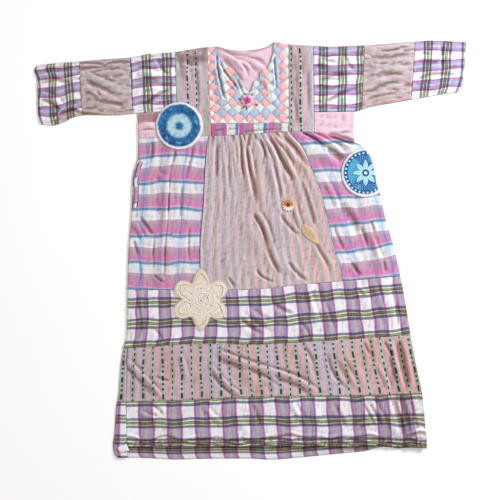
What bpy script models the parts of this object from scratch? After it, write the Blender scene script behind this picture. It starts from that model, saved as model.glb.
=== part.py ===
"""Patchwork midi dress, laid flat on its back with both sleeves spread.

Every piece that is cut and sewn on is one closed solid. The back pieces are a flat wall that
rests on the surface, and the front pieces are a second wall that lies on them, a little lofted
in the middle, with the main folds and gathers. The sleeves are flattened tubes.
x runs along the sleeves, y runs from the hem to the neck, and z is up. Lengths are in
millimetres until a mesh is made.
"""
import bpy
import bmesh
import numpy as np

MM = 0.001

WALL = 1.2              # cloth with its pressed seam allowances
LAYER_GAP = 0.3         # air between two layers that lie on each other
SEAM_GAP = 0.34         # space between two pieces along their seam
LOFT = 3.2              # how far the front stands off the back in the middle
LOFT_REACH = 26.0       # how far from the outline the front takes to rise
APPLIQUE_GAP = 0.5      # air under a motif that is sewn on

PATCH_LEFT = dict(x=-195.0, y=341.0, radius=65.0)
PATCH_RIGHT = dict(x=317.0, y=212.0, radius=67.0)
DOILY = dict(x=-135.0, y=-139.0, radius=88.0)
ROSETTE = dict(x=-8.0, y=411.0, radius=20.0)
SMALL_FLOWER = dict(x=104.0, y=124.0, radius=17.5)
LEAF = dict(x=164.0, y=44.0, radius=32.5, half_width=13.5, tip_width=1.2, turn=-49.0)
POCKET_MOUTH = dict(top=245.0, bottom=115.0, inset=3.0, width=9.0)


class Seam:
    """A seam or edge through a few points: y follows x ("across") or x follows y ("down")."""

    def __init__(self, runs, *points):
        self.across = runs == "across"
        table = np.array(sorted(points, key=lambda point: point[0 if self.across else 1]))
        self.key = table[:, 0 if self.across else 1]
        self.value = table[:, 1 if self.across else 0]
        slope = np.diff(self.value) / np.diff(self.key)
        before, after = slope[:-1], slope[1:]
        same_way = before * after > 0
        safe_sum = np.where(same_way, before + after, 1.0)
        middle = np.where(same_way, 2 * before * after / safe_sum, 0.0)
        self.slope = np.concatenate((slope[:1], middle, slope[-1:]))

    def at(self, key):
        key = np.clip(key, self.key[0], self.key[-1])
        i = np.clip(np.searchsorted(self.key, key) - 1, 0, len(self.key) - 2)
        step = self.key[i + 1] - self.key[i]
        t = (key - self.key[i]) / step
        rise = t * t * (3 - 2 * t)
        start = t * (1 - t) * (1 - t) * step * self.slope[i]
        end = t * t * (1 - t) * step * self.slope[i + 1]
        return self.value[i] * (1 - rise) + self.value[i + 1] * rise + start - end

    def stretch(self, start, end, count):
        """Points from one corner to another, count + 1 of them."""
        axis = 0 if self.across else 1
        key = np.linspace(start[axis], end[axis], count + 1)
        columns = (key, self.at(key)) if self.across else (self.at(key), key)
        return np.stack(columns, axis=1)


def corner(across, down):
    """Where a seam that runs across meets one that runs down."""
    x, y = down.value.mean(), across.value.mean()
    for _ in range(30):
        x = float(down.at(y))
        y = float(across.at(x))
    return np.array((x, y))


# The outline, from the neck round to the hem

SHOULDER = Seam(
    "across", (-592, 504), (-584, 509), (-500, 517), (-403, 525), (-332, 530), (-272, 541),
    (-206, 545), (-123, 558), (-93, 560.5), (67, 573), (109, 566), (161, 563), (218, 560.5),
    (306, 563.5), (394, 570), (455, 574.5), (503, 577.5), (547, 575.6), (594, 572.6))
CUFF_END_LEFT = Seam("down", (-588, 509), (-594, 495), (-586, 468), (-585, 381), (-577, 346))
CUFF_END_RIGHT = Seam("down", (594, 573), (589, 490), (582.5, 455), (574, 434))
UNDERARM_LEFT = Seam(
    "across", (-577, 346), (-544, 343), (-513, 352), (-487, 365), (-447, 372), (-381, 371),
    (-311, 376), (-203, 382))
UNDERARM_RIGHT = Seam(
    "across", (176, 379), (286, 381), (328, 393), (394, 405), (451, 415), (503, 424),
    (547, 431), (574, 434))
SIDE_LEFT = Seam(
    "down", (-310.5, 378), (-308, 305), (-309, 258), (-318, 227), (-324, 195), (-327, 104),
    (-335, 0), (-338, -110), (-340, -239), (-348, -263), (-357, -316), (-363, -395),
    (-370, -438), (-373.5, -496), (-378, -539), (-375, -561), (-366, -572))
GUSSET_EDGE_RIGHT = Seam("down", (286, 381), (284, 320), (287, 296))
SIDE_RIGHT = Seam(
    "down", (287, 296), (315, 284), (330, 266.5), (341, 240), (350, 196), (370, 96), (398, -4),
    (427, -145), (446, -263), (462, -342), (474, -400), (481.5, -482), (485, -517), (485, -545))
FRONT_HEM = Seam("across", (-337, -541), (0, -540), (372, -541), (411, -546), (437, -543), (485, -545))
BACK_HEM = Seam(
    "across", (-366, -572), (-294, -573), (-206, -577), (-118, -575), (-1, -574.5), (51, -577.5),
    (131, -572), (218, -563.5), (306, -555), (372, -541.5), (485, -537))

# The seams between the pieces

ARM_SEAM_LEFT = Seam("down", (-207, 545), (-201.5, 305))
ARM_SEAM_RIGHT = Seam("down", (172.5, 563), (175.5, 318))
BIB_LEFT = Seam("down", (-119.5, 560), (-107.5, 308))
BIB_RIGHT = Seam("down", (105, 567), (105.6, 320))
BAND_TOP = Seam("across", (-112, 348), (106, 350))
WAIST = Seam(
    "across", (-310, 306.5), (-202, 310), (-110, 313), (0, 318), (105, 325.5), (175, 323),
    (253, 308), (287, 296))
PANEL_SEAM_LEFT = Seam("down", (-117, 313), (-125, 205), (-129, 117), (-136, 38), (-138, 0), (-136, -112))
PANEL_SEAM_RIGHT = Seam(
    "down", (108, 326), (118, 313), (144, 284), (166, 232), (188, 179), (205, 117), (232, 0),
    (245, -38), (254, -88))
TIER_SEAM_1 = Seam(
    "across", (-338, -110), (-31, -110), (32, -107), (156, -94), (291, -83), (420, -72))
TIER_SEAM_2 = Seam(
    "across", (-349, -271), (-250, -265), (-162, -258.5), (-1, -260), (175, -252), (445, -234))
TIER_SEAM_3 = Seam(
    "across", (-367, -418), (-206, -414), (-118, -410), (-1, -404), (306, -400), (476, -395))
WRAP_SEAM = Seam("down", (-338, -258), (-342, -430), (-338, -575))
SLEEVE_SEAM_LEFT = Seam("down", (-331, 530), (-323, 375))
CUFF_SEAM_LEFT = Seam("down", (-471, 520), (-463, 371))
SLEEVE_SEAM_RIGHT = Seam("down", (313, 564), (306, 387))
CUFF_SEAM_RIGHT = Seam("down", (453, 575), (442, 413))

# The notched neckline of the bib, from the left shoulder to the right one
FRONT_NECK = (
    (-120, 558.3), (-93, 560.3), (-90, 539), (-81, 522), (-65, 504), (-46, 492.5), (-30, 473),
    (-13, 444), (-5, 434), (4, 439), (12, 464), (29, 478), (27, 490), (47, 500.5), (56, 515),
    (63, 539), (66, 572.5), (105, 566.5))
BACK_NECK = Seam(
    "across", (-209, 545), (-123, 558), (-93, 560.5), (-61, 552.5), (-23, 549), (16, 552.5),
    (45, 560), (67, 573), (109, 566), (172, 563))


def outline():
    """The edge that the front is sewn or folded along, as one closed run of points."""
    under_left = corner(UNDERARM_LEFT, SIDE_LEFT)
    runs = (
        SHOULDER.stretch((-588, 0), (594, 0), 60),
        CUFF_END_RIGHT.stretch((0, 572), (0, 434), 6),
        UNDERARM_RIGHT.stretch((574, 0), (286, 0), 12),
        GUSSET_EDGE_RIGHT.stretch((0, 381), (0, 296), 4),
        SIDE_RIGHT.stretch((0, 296), (0, -545), 50),
        FRONT_HEM.stretch((485, 0), (-337, 0), 24),
        SIDE_LEFT.stretch((0, -541), under_left, 50),
        UNDERARM_LEFT.stretch(under_left, (-577, 0), 14),
        CUFF_END_LEFT.stretch((0, 346), (0, 505), 8))
    return np.concatenate(runs)


OUTLINE = outline()


def distance_inside(x, y):
    """How far each point lies from the outline."""
    start = OUTLINE
    run = np.roll(OUTLINE, -1, axis=0) - start
    length_squared = np.maximum((run ** 2).sum(axis=1), 1e-9)
    away = np.stack((x, y), axis=-1)[..., None, :] - start
    share = np.clip((away * run).sum(axis=-1) / length_squared, 0, 1)
    gap = away - share[..., None] * run
    return np.sqrt((gap ** 2).sum(axis=-1)).min(axis=-1)


# The main folds: a soft ridge from one point to another, in the order start x, start y,
# end x, end y, half width, height
FOLDS = (
    (-16, 312, -2, 150, 11, 4.5),
    (14, 312, 42, 130, 12, 4.8),
    (46, 305, 82, 120, 11, 4.2),
    (80, 310, 150, 140, 13, 5.0),
    (-60, 308, -66, 170, 10, 3.2),
    (104, 318, 158, 215, 11, 4.4),
    (-14, 95, 38, -20, 14, 3.2),
    (62, 96, 112, 30, 12, 2.6),
    (88, -20, 128, -78, 11, 3.0),
    (150, 312, 260, 196, 15, 4.2),
    (190, 306, 262, 258, 12, 5.0),
    (222, 306, 292, 284, 11, 5.2),
    (255, 150, 330, 60, 15, 3.0),
    (265, 20, 330, -70, 14, 2.8),
    (-232, 285, -228, -70, 9, 2.6),
    (-300, 150, -246, 40, 14, 3.0),
    (-290, 40, -180, -20, 15, 2.6),
    (-268, 300, -262, 220, 9, 3.0),
    (-30, -170, 40, -240, 14, 3.0),
    (150, -110, 240, -225, 15, 2.6),
    (300, -100, 360, -210, 15, 2.6),
    (-342, -302, -237, -404, 17, 4.6),
    (-106, -300, -30, -404, 17, 4.4),
    (-48, -275, 36, -396, 16, 4.0),
    (130, -268, 190, -390, 16, 3.2),
    (250, -262, 330, -388, 16, 3.0),
    (418, -292, 444, -395, 15, 4.6),
    (-250, -430, -190, -535, 15, 3.0),
    (-60, -425, 20, -535, 15, 2.8),
    (160, -420, 230, -530, 15, 2.8),
    (360, -415, 420, -530, 15, 3.2),
    (-330, -522, -60, -527, 9, 2.6),
    (40, -524, 330, -520, 9, 2.4),
    (-560, 482, -400, 494, 12, 4.2),
    (-463, 465, -378, 410, 13, 3.6),
    (-430, 438, -340, 436, 11, 3.0),
    (-310, 500, -222, 470, 13, 3.4),
    (-320, 430, -230, 410, 12, 2.8),
    (-560, 420, -480, 400, 13, 3.0),
    (330, 530, 430, 534, 11, 3.4),
    (326, 480, 428, 492, 12, 3.6),
    (330, 425, 410, 440, 11, 2.8),
    (200, 520, 296, 500, 13, 3.0),
    (210, 440, 290, 420, 13, 3.0),
    (470, 530, 570, 510, 13, 3.2),
    (470, 460, 560, 474, 12, 2.8),
    (130, 540, 150, 350, 9, 2.6),
    (-180, 530, -160, 410, 9, 2.6),
    (-88, 500, -40, 380, 12, 2.4),
    (40, 480, 84, 372, 12, 2.4),
)

# Gathers: even waves that hang from a seam and fade out below it, in the order left seam,
# right seam, top seam, waves, height, length over which they fade
GATHERS = (
    (PANEL_SEAM_LEFT, PANEL_SEAM_RIGHT, WAIST, 11, 3.4, 110),
    (PANEL_SEAM_RIGHT, SIDE_RIGHT, WAIST, 5, 2.6, 90),
    (SIDE_LEFT, PANEL_SEAM_LEFT, WAIST, 4, 1.6, 60),
    (SIDE_LEFT, SIDE_RIGHT, TIER_SEAM_1, 13, 1.3, 60),
    (SIDE_LEFT, SIDE_RIGHT, TIER_SEAM_2, 13, 1.6, 60),
    (SIDE_LEFT, SIDE_RIGHT, TIER_SEAM_3, 13, 1.4, 60),
)

# Where a motif is sewn down, the cloth under it stays smooth
CALM_SPOTS = (PATCH_LEFT, PATCH_RIGHT, DOILY, ROSETTE, SMALL_FLOWER, LEAF)
CALM_MARGIN = 24.0      # wholly smooth this far outside the motif
CALM_FADE = 22.0        # and then back to the full relief over this much


def smooth_step(value):
    share = np.clip(value, 0, 1)
    return share * share * (3 - 2 * share)


def fold_height(x, y):
    total = np.zeros_like(x)
    for x0, y0, x1, y1, half_width, height in FOLDS:
        length = np.hypot(x1 - x0, y1 - y0)
        along_x, along_y = (x1 - x0) / length, (y1 - y0) / length
        share = ((x - x0) * along_x + (y - y0) * along_y) / length
        aside = (x - x0) * along_y - (y - y0) * along_x
        taper = np.sqrt(np.clip(4 * share * (1 - share), 0, 1))
        profile = np.clip(1 - (aside / half_width) ** 2, 0, 1) ** 2
        total = total + height * taper * profile
    return total


def gather_height(x, y):
    total = np.zeros_like(x)
    for left, right, top, waves, height, fade in GATHERS:
        below = top.at(x) - y
        start, end = left.at(y), right.at(y)
        share = (x - start) / (end - start)
        inside = (below >= -0.6) & (share > 0) & (share < 1)
        swing = 0.5 - 0.5 * np.cos(2 * np.pi * waves * share)
        uneven = 0.72 + 0.28 * np.sin(9.4 * share + 1.3)
        wave = height * uneven * swing * np.exp(-np.maximum(below, 0) / fade)
        total = total + np.where(inside, wave, 0.0)
    return total


def calm(x, y):
    """Nought under a sewn-on motif, rising to one a little way outside it."""
    share = np.ones_like(x)
    for spot in CALM_SPOTS:
        away = np.hypot(x - spot["x"], y - spot["y"]) - spot["radius"] - CALM_MARGIN
        share = share * smooth_step(away / CALM_FADE)
    return share


def front_low(x, y):
    """The under face of the front wall."""
    loft = LOFT * (1 - np.exp(-distance_inside(x, y) / LOFT_REACH))
    relief = calm(x, y) * (fold_height(x, y) + gather_height(x, y))
    near_edge = smooth_step(distance_inside(x, y) / 14)
    return WALL + LAYER_GAP + loft + relief * near_edge


def front_top(x, y):
    return front_low(x, y) + WALL


def raised(plan, height):
    """A grid of (x, y) points with a height for each."""
    level = np.broadcast_to(height, plan.shape[:2])
    return np.concatenate((plan, level[..., None]), axis=-1)


def fill(top, bottom, left, right):
    """A grid between four edges: top and bottom run rightwards, left and right run down."""
    u = np.linspace(0, 1, len(top))[None, :, None]
    v = np.linspace(0, 1, len(left))[:, None, None]
    between_rows = (1 - v) * top[None] + v * bottom[None]
    between_columns = (1 - u) * left[:, None] + u * right[:, None]
    corners = ((1 - v) * ((1 - u) * top[0] + u * top[-1])
               + v * ((1 - u) * bottom[0] + u * bottom[-1]))
    return between_rows + between_columns - corners


def pull_in(plan, distance, sides="top bottom left right"):
    """Move the outer rows and columns inwards, to leave half a seam's gap on each side."""
    result = plan.copy()
    for side, edge, neighbour in (("top", 0, 1), ("bottom", -1, -2)):
        if side in sides:
            step = plan[neighbour] - plan[edge]
            result[edge] += distance * step / np.linalg.norm(step, axis=-1, keepdims=True)
    for side, edge, neighbour in (("left", 0, 1), ("right", -1, -2)):
        if side in sides:
            step = plan[:, neighbour] - plan[:, edge]
            result[:, edge] += distance * step / np.linalg.norm(step, axis=-1, keepdims=True)
    return result


def panel_plan(top, bottom, left, right, columns, rows):
    """The plan of a piece that lies between four seams."""
    corners = [corner(across, down) for across in (top, bottom) for down in (left, right)]
    plan = fill(
        top.stretch(corners[0], corners[1], columns),
        bottom.stretch(corners[2], corners[3], columns),
        left.stretch(corners[0], corners[2], rows),
        right.stretch(corners[1], corners[3], rows))
    return pull_in(plan, SEAM_GAP / 2)


COLOURS = {
    "check": (0.62, 0.56, 0.64),
    "madras": (0.66, 0.48, 0.60),
    "stripe": (0.58, 0.47, 0.50),
    "dash stripe": (0.50, 0.44, 0.44),
    "pink": (0.76, 0.46, 0.56),
    "bib": (0.68, 0.52, 0.56),
    "indigo": (0.02, 0.13, 0.32),
    "blue print": (0.04, 0.20, 0.42),
    "lace": (0.80, 0.68, 0.50),
    "rosette": (0.75, 0.03, 0.20),
    "tan": (0.58, 0.30, 0.13),
    "leaf": (0.60, 0.45, 0.22),
}


def finish_for(name, cloth):
    material = bpy.data.materials.new(name + "_cloth")
    material.use_nodes = True
    shader = material.node_tree.nodes["Principled BSDF"]
    shader.inputs["Base Color"].default_value = (*COLOURS[cloth], 1.0)
    shader.inputs["Roughness"].default_value = 0.85
    shader.inputs["Metallic"].default_value = 0.0
    return material


def shell(name, cloth, outer, inner, around=False, disc=False):
    """Close a wall between two grids of points.

    around joins the last column to the first. disc also says that the first row is one point.
    """
    rows, columns = outer.shape[:2]
    mesh = bmesh.new()
    faces = [[mesh.verts.new(point * MM) for point in grid.reshape(-1, 3)] for grid in (outer, inner)]
    last = columns if around else columns - 1
    for layer in faces:
        for row in range(rows - 1):
            for column in range(last):
                after = (column + 1) % columns
                ring = (row * columns + column, row * columns + after,
                        (row + 1) * columns + after, (row + 1) * columns + column)
                mesh.faces.new([layer[i] for i in ring])
    rims = []
    for row in ((rows - 1,) if disc else (0, rows - 1)):
        rims += [(row * columns + c, row * columns + (c + 1) % columns) for c in range(last)]
    for column in () if around else (0, columns - 1):
        rims += [(r * columns + column, (r + 1) * columns + column) for r in range(rows - 1)]
    for start, end in rims:
        mesh.faces.new([faces[0][start], faces[0][end], faces[1][end], faces[1][start]])
    if disc:
        bmesh.ops.remove_doubles(mesh, verts=mesh.verts, dist=1e-7)
    bmesh.ops.recalc_face_normals(mesh, faces=mesh.faces)
    data = bpy.data.meshes.new(name)
    mesh.to_mesh(data)
    mesh.free()
    data.materials.append(finish_for(name, cloth))
    data.shade_smooth()
    piece = bpy.data.objects.new(name, data)
    bpy.context.scene.collection.objects.link(piece)
    return piece


def front_wall(name, cloth, plan):
    x, y = plan[..., 0], plan[..., 1]
    return shell(name, cloth, raised(plan, front_top(x, y)), raised(plan, front_low(x, y)))


def back_wall(name, cloth, plan):
    return shell(name, cloth, raised(plan, 0.0), raised(plan, WALL))


def sleeve_tube(name, cloth, top, bottom, start, end, columns, rows):
    """A flattened tube: the under wall is flat and the upper wall follows the front."""
    plan = panel_plan(top, bottom, start, end, columns, rows).transpose(1, 0, 2)
    inside = pull_in(plan, WALL, "left right")
    upper, upper_inside = plan[:, ::-1], inside[:, ::-1]
    outer = np.concatenate((
        raised(plan, 0.0), raised(upper, front_top(upper[..., 0], upper[..., 1]))), axis=1)
    inner = np.concatenate((
        raised(inside, WALL),
        raised(upper_inside, front_low(upper_inside[..., 0], upper_inside[..., 1]))), axis=1)
    return shell(name, cloth, outer, inner, around=True)


def wrapped_back(name, cloth, top, bottom, columns, rows):
    """A back piece whose left edge is rolled forward over the front, as far as its seam."""
    slab = panel_plan(top, bottom, SIDE_LEFT, SIDE_RIGHT, columns, rows)
    flap = panel_plan(top, bottom, SIDE_LEFT, WRAP_SEAM, 2, rows)
    flap[:, 0] = slab[:, 0]
    slab_inside = pull_in(slab, WALL, "left")[:, ::-1]
    flap_inside = pull_in(flap, WALL, "left")
    outer = np.concatenate((
        raised(slab[:, ::-1], 0.0), raised(flap, front_top(flap[..., 0], flap[..., 1]))), axis=1)
    inner = np.concatenate((
        raised(slab_inside, WALL),
        raised(flap_inside, front_low(flap_inside[..., 0], flap_inside[..., 1]))), axis=1)
    return shell(name, cloth, outer, inner)


# The pieces that lie between four seams, in the order name, cloth, top, bottom, left, right,
# columns, rows
FRONT_PANELS = (
    ("front_yoke_left", "dash stripe", SHOULDER, WAIST, ARM_SEAM_LEFT, BIB_LEFT, 6, 12),
    ("front_yoke_right", "dash stripe", SHOULDER, WAIST, BIB_RIGHT, ARM_SEAM_RIGHT, 5, 12),
    ("front_gusset_left", "pink", UNDERARM_LEFT, WAIST, SIDE_LEFT, ARM_SEAM_LEFT, 7, 5),
    ("front_gusset_right", "pink", UNDERARM_RIGHT, WAIST, ARM_SEAM_RIGHT, GUSSET_EDGE_RIGHT, 7, 5),
    ("waist_band", "madras", BAND_TOP, WAIST, BIB_LEFT, BIB_RIGHT, 20, 2),
    ("front_centre_panel", "stripe", WAIST, TIER_SEAM_1, PANEL_SEAM_LEFT, PANEL_SEAM_RIGHT, 44, 12),
    ("front_side_panel_left", "madras", WAIST, TIER_SEAM_1, SIDE_LEFT, PANEL_SEAM_LEFT, 14, 12),
    ("front_side_panel_right", "madras", WAIST, TIER_SEAM_1, PANEL_SEAM_RIGHT, SIDE_RIGHT, 15, 12),
    ("front_tier_check", "check", TIER_SEAM_1, TIER_SEAM_2, SIDE_LEFT, SIDE_RIGHT, 48, 4),
    ("front_tier_dash", "dash stripe", TIER_SEAM_2, TIER_SEAM_3, WRAP_SEAM, SIDE_RIGHT, 48, 6),
    ("front_hem_tier", "check", TIER_SEAM_3, FRONT_HEM, WRAP_SEAM, SIDE_RIGHT, 48, 5),
)
BACK_PANELS = (
    ("back_yoke", "pink", BACK_NECK, WAIST, ARM_SEAM_LEFT, ARM_SEAM_RIGHT, 20, 4),
    ("back_gusset_left", "pink", UNDERARM_LEFT, WAIST, SIDE_LEFT, ARM_SEAM_LEFT, 5, 3),
    ("back_gusset_right", "pink", UNDERARM_RIGHT, WAIST, ARM_SEAM_RIGHT, GUSSET_EDGE_RIGHT, 5, 3),
    ("back_skirt", "madras", WAIST, TIER_SEAM_1, SIDE_LEFT, SIDE_RIGHT, 14, 16),
    ("back_tier_check", "check", TIER_SEAM_1, TIER_SEAM_2, SIDE_LEFT, SIDE_RIGHT, 14, 6),
)
SLEEVE_BANDS = (
    ("sleeve_upper_left", "check", SHOULDER, UNDERARM_LEFT, SLEEVE_SEAM_LEFT, ARM_SEAM_LEFT, 6, 7),
    ("sleeve_middle_left", "stripe", SHOULDER, UNDERARM_LEFT, CUFF_SEAM_LEFT, SLEEVE_SEAM_LEFT, 7, 7),
    ("sleeve_cuff_left", "check", SHOULDER, UNDERARM_LEFT, CUFF_END_LEFT, CUFF_SEAM_LEFT, 7, 7),
    ("sleeve_upper_right", "check", SHOULDER, UNDERARM_RIGHT, ARM_SEAM_RIGHT, SLEEVE_SEAM_RIGHT, 6, 7),
    ("sleeve_middle_right", "stripe", SHOULDER, UNDERARM_RIGHT, SLEEVE_SEAM_RIGHT, CUFF_SEAM_RIGHT, 7, 7),
    ("sleeve_cuff_right", "check", SHOULDER, UNDERARM_RIGHT, CUFF_SEAM_RIGHT, CUFF_END_RIGHT, 7, 7),
)


def even_run(points, count):
    """Points spaced evenly along a broken line, count + 1 of them."""
    points = np.array(points, dtype=float)
    travelled = np.concatenate(((0,), np.cumsum(np.hypot(*np.diff(points, axis=0).T))))
    steps = np.linspace(0, travelled[-1], count + 1)
    return np.stack([np.interp(steps, travelled, points[:, i]) for i in (0, 1)], axis=1)


def bib_plan(columns, rows):
    """The bib hangs from the shoulders and is cut away round the notched neckline."""
    top = even_run(FRONT_NECK, columns)
    top[0] = corner(SHOULDER, BIB_LEFT)
    top[-1] = corner(SHOULDER, BIB_RIGHT)
    low_left, low_right = corner(BAND_TOP, BIB_LEFT), corner(BAND_TOP, BIB_RIGHT)
    plan = fill(
        top,
        BAND_TOP.stretch(low_left, low_right, columns),
        BIB_LEFT.stretch(top[0], low_left, rows),
        BIB_RIGHT.stretch(top[-1], low_right, rows))
    return pull_in(plan, SEAM_GAP / 2, "bottom left right")


def disc_plan(spot, rings, sectors, reach):
    """Rings round a centre, as far out as reach gives for each angle."""
    angles = np.linspace(0, 2 * np.pi, sectors, endpoint=False)
    far = reach(angles)
    share = np.linspace(0, 1, rings + 1)[:, None]
    x = spot["x"] + share * far * np.cos(angles)
    y = spot["y"] + share * far * np.sin(angles)
    return np.stack((x, y), axis=-1)


def sewn_disc(name, cloth, spot, rings, sectors, reach, dome=0.0):
    """A motif sewn on the front, its upper face raised by dome in the middle."""
    plan = disc_plan(spot, rings, sectors, reach)
    under = front_top(plan[..., 0], plan[..., 1]) + APPLIQUE_GAP
    swell = dome * np.cos(np.linspace(0, np.pi / 2, rings + 1))[:, None]
    return shell(
        name, cloth, raised(plan, under + WALL + swell), raised(plan, under), around=True, disc=True)


def round_reach(spot):
    return lambda angles: np.full_like(angles, spot["radius"])


def reach_to_side(spot, margin):
    """A round patch that stops a margin inside the right side edge."""
    def reach(angles):
        near, far = np.zeros_like(angles), np.full_like(angles, spot["radius"])
        for _ in range(20):
            middle = (near + far) / 2
            limit = SIDE_RIGHT.at(spot["y"] + middle * np.sin(angles)) - margin
            inside = spot["x"] + middle * np.cos(angles) < limit
            near, far = np.where(inside, middle, near), np.where(inside, far, middle)
        return near
    return reach


# The doily's six petals, in the order angle in degrees, reach, half angle in degrees, roundness
DOILY_PETALS = (
    (90, 88, 25, 1.0),
    (147, 80, 26, 2.4),
    (207, 79, 26, 2.4),
    (270, 80, 25, 1.1),
    (329, 75, 26, 2.2),
    (33, 80, 26, 2.4),
)
DOILY_VALLEY = 52.0


def doily_reach(angles):
    far = np.full_like(angles, DOILY_VALLEY)
    for degrees, reach, half_angle, roundness in DOILY_PETALS:
        turn = np.angle(np.exp(1j * (angles - np.radians(degrees))))
        share = np.clip(np.abs(turn) / np.radians(half_angle), 0, 1)
        far = np.maximum(far, DOILY_VALLEY + (reach - DOILY_VALLEY) * (1 - share ** roundness))
    return far


def petal_reach(spot, petals, depth):
    """Even round petals: depth is how far the notches between them reach in, as a share."""
    return lambda angles: spot["radius"] * (1 - depth * (0.5 - 0.5 * np.cos(petals * angles)))


def leaf_plan(columns, rows):
    """A pointed oval with a blunt end, along a line that runs down to the right."""
    share = np.linspace(0, 1, columns + 1)
    half_width = LEAF["half_width"] * np.sin(np.pi * share ** 0.85) ** 0.75 + LEAF["tip_width"]
    across = np.linspace(-1, 1, rows + 1)[:, None]
    along = LEAF["radius"] * (2 * share - 1)[None, :] + 0 * across
    aside = across * half_width[None, :]
    turn = np.radians(LEAF["turn"])
    x = LEAF["x"] + along * np.cos(turn) - aside * np.sin(turn)
    y = LEAF["y"] + along * np.sin(turn) + aside * np.cos(turn)
    return np.stack((x, y), axis=-1)


def pocket_plan(rows):
    """A narrow facing that edges the pocket mouth, just inside the left side seam."""
    y = np.linspace(POCKET_MOUTH["top"], POCKET_MOUTH["bottom"], rows + 1)
    start = SIDE_LEFT.at(y) + POCKET_MOUTH["inset"]
    end = start + POCKET_MOUTH["width"] * np.ones_like(y)
    middle = (start + end) / 2
    return np.stack([np.stack((x, y), axis=-1) for x in (start, middle, end)], axis=1)


def sewn_strip(name, cloth, plan):
    under = front_top(plan[..., 0], plan[..., 1]) + APPLIQUE_GAP
    return shell(name, cloth, raised(plan, under + WALL), raised(plan, under))


def centre_on_origin(pieces):
    """Put the middle of the dress's box over the origin."""
    points = np.array([vertex.co for piece in pieces for vertex in piece.data.vertices])
    middle = (points.min(axis=0) + points.max(axis=0)) / 2
    for piece in pieces:
        for vertex in piece.data.vertices:
            vertex.co.x -= middle[0]
            vertex.co.y -= middle[1]
        piece.data.update()


def build_dress():
    pieces = [front_wall(name, cloth, panel_plan(*edges)) for name, cloth, *edges in FRONT_PANELS]
    pieces += [back_wall(name, cloth, panel_plan(*edges)) for name, cloth, *edges in BACK_PANELS]
    pieces += [sleeve_tube(name, cloth, *edges) for name, cloth, *edges in SLEEVE_BANDS]
    pieces += [
        front_wall("front_bib", "bib", bib_plan(34, 9)),
        wrapped_back("back_tier_dash", "dash stripe", TIER_SEAM_2, TIER_SEAM_3, 14, 6),
        wrapped_back("back_hem_tier", "check", TIER_SEAM_3, BACK_HEM, 16, 6),
        sewn_strip("pocket_facing", "madras", pocket_plan(8)),
        sewn_disc("round_patch_left", "indigo", PATCH_LEFT, 4, 28, round_reach(PATCH_LEFT)),
        sewn_disc("round_patch_right", "blue print", PATCH_RIGHT, 4, 28,
                  reach_to_side(PATCH_RIGHT, 2.0)),
        sewn_disc("doily", "lace", DOILY, 4, 48, doily_reach, dome=0.8),
        sewn_disc("rosette", "rosette", ROSETTE, 4, 24, petal_reach(ROSETTE, 8, 0.12), dome=3.0),
        sewn_disc("small_flower", "tan", SMALL_FLOWER, 3, 24, petal_reach(SMALL_FLOWER, 6, 0.3),
                  dome=0.8),
        sewn_strip("leaf", "leaf", leaf_plan(8, 4)),
    ]
    centre_on_origin(pieces)


for old in list(bpy.data.objects):
    bpy.data.objects.remove(old)
build_dress()
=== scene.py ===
"""Patchwork midi dress, laid flat on its back with both sleeves spread: how it looks.

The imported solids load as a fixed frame. Each piece of cloth is a thin sheet on the form of its
own solid, cut between the same seams, with its creases, its woven pattern and its sewing.
x runs along the sleeves, y runs from the hem to the neck, and z is up. Lengths are in
millimetres until a mesh is made.
"""
import bpy
import numpy as np
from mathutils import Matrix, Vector, noise
from mathutils.bvhtree import BVHTree


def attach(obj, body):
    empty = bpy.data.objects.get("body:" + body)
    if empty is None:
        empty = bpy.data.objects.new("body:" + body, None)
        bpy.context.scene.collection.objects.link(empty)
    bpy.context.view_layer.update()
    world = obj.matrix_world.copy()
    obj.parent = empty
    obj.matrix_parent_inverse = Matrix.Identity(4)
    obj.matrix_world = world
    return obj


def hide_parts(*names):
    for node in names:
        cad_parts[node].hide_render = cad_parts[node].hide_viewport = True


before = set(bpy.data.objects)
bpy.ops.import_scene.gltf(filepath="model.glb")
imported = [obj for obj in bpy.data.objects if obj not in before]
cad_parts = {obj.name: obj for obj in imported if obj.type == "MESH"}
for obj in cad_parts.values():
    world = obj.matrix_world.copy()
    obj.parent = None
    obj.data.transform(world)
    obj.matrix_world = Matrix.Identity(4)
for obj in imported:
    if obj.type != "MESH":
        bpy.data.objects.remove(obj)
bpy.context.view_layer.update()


# Back yoke and back gussets. They are cut from plain pink cotton, and lie flat under the front.
# Only the inside of the yoke shows, through the neck. The seams that all pieces are cut
# between come first.

MM = 0.001
BOX_MIDDLE = np.array((1.6485, -0.0332))    # the solids are centred on their box
HALF_GAP = 0.06    # from the middle of a seam to the cloth's edge


def pair(first, second):
    """Two grids of numbers as one grid of places."""
    return np.stack((first, second), axis=-1)


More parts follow.
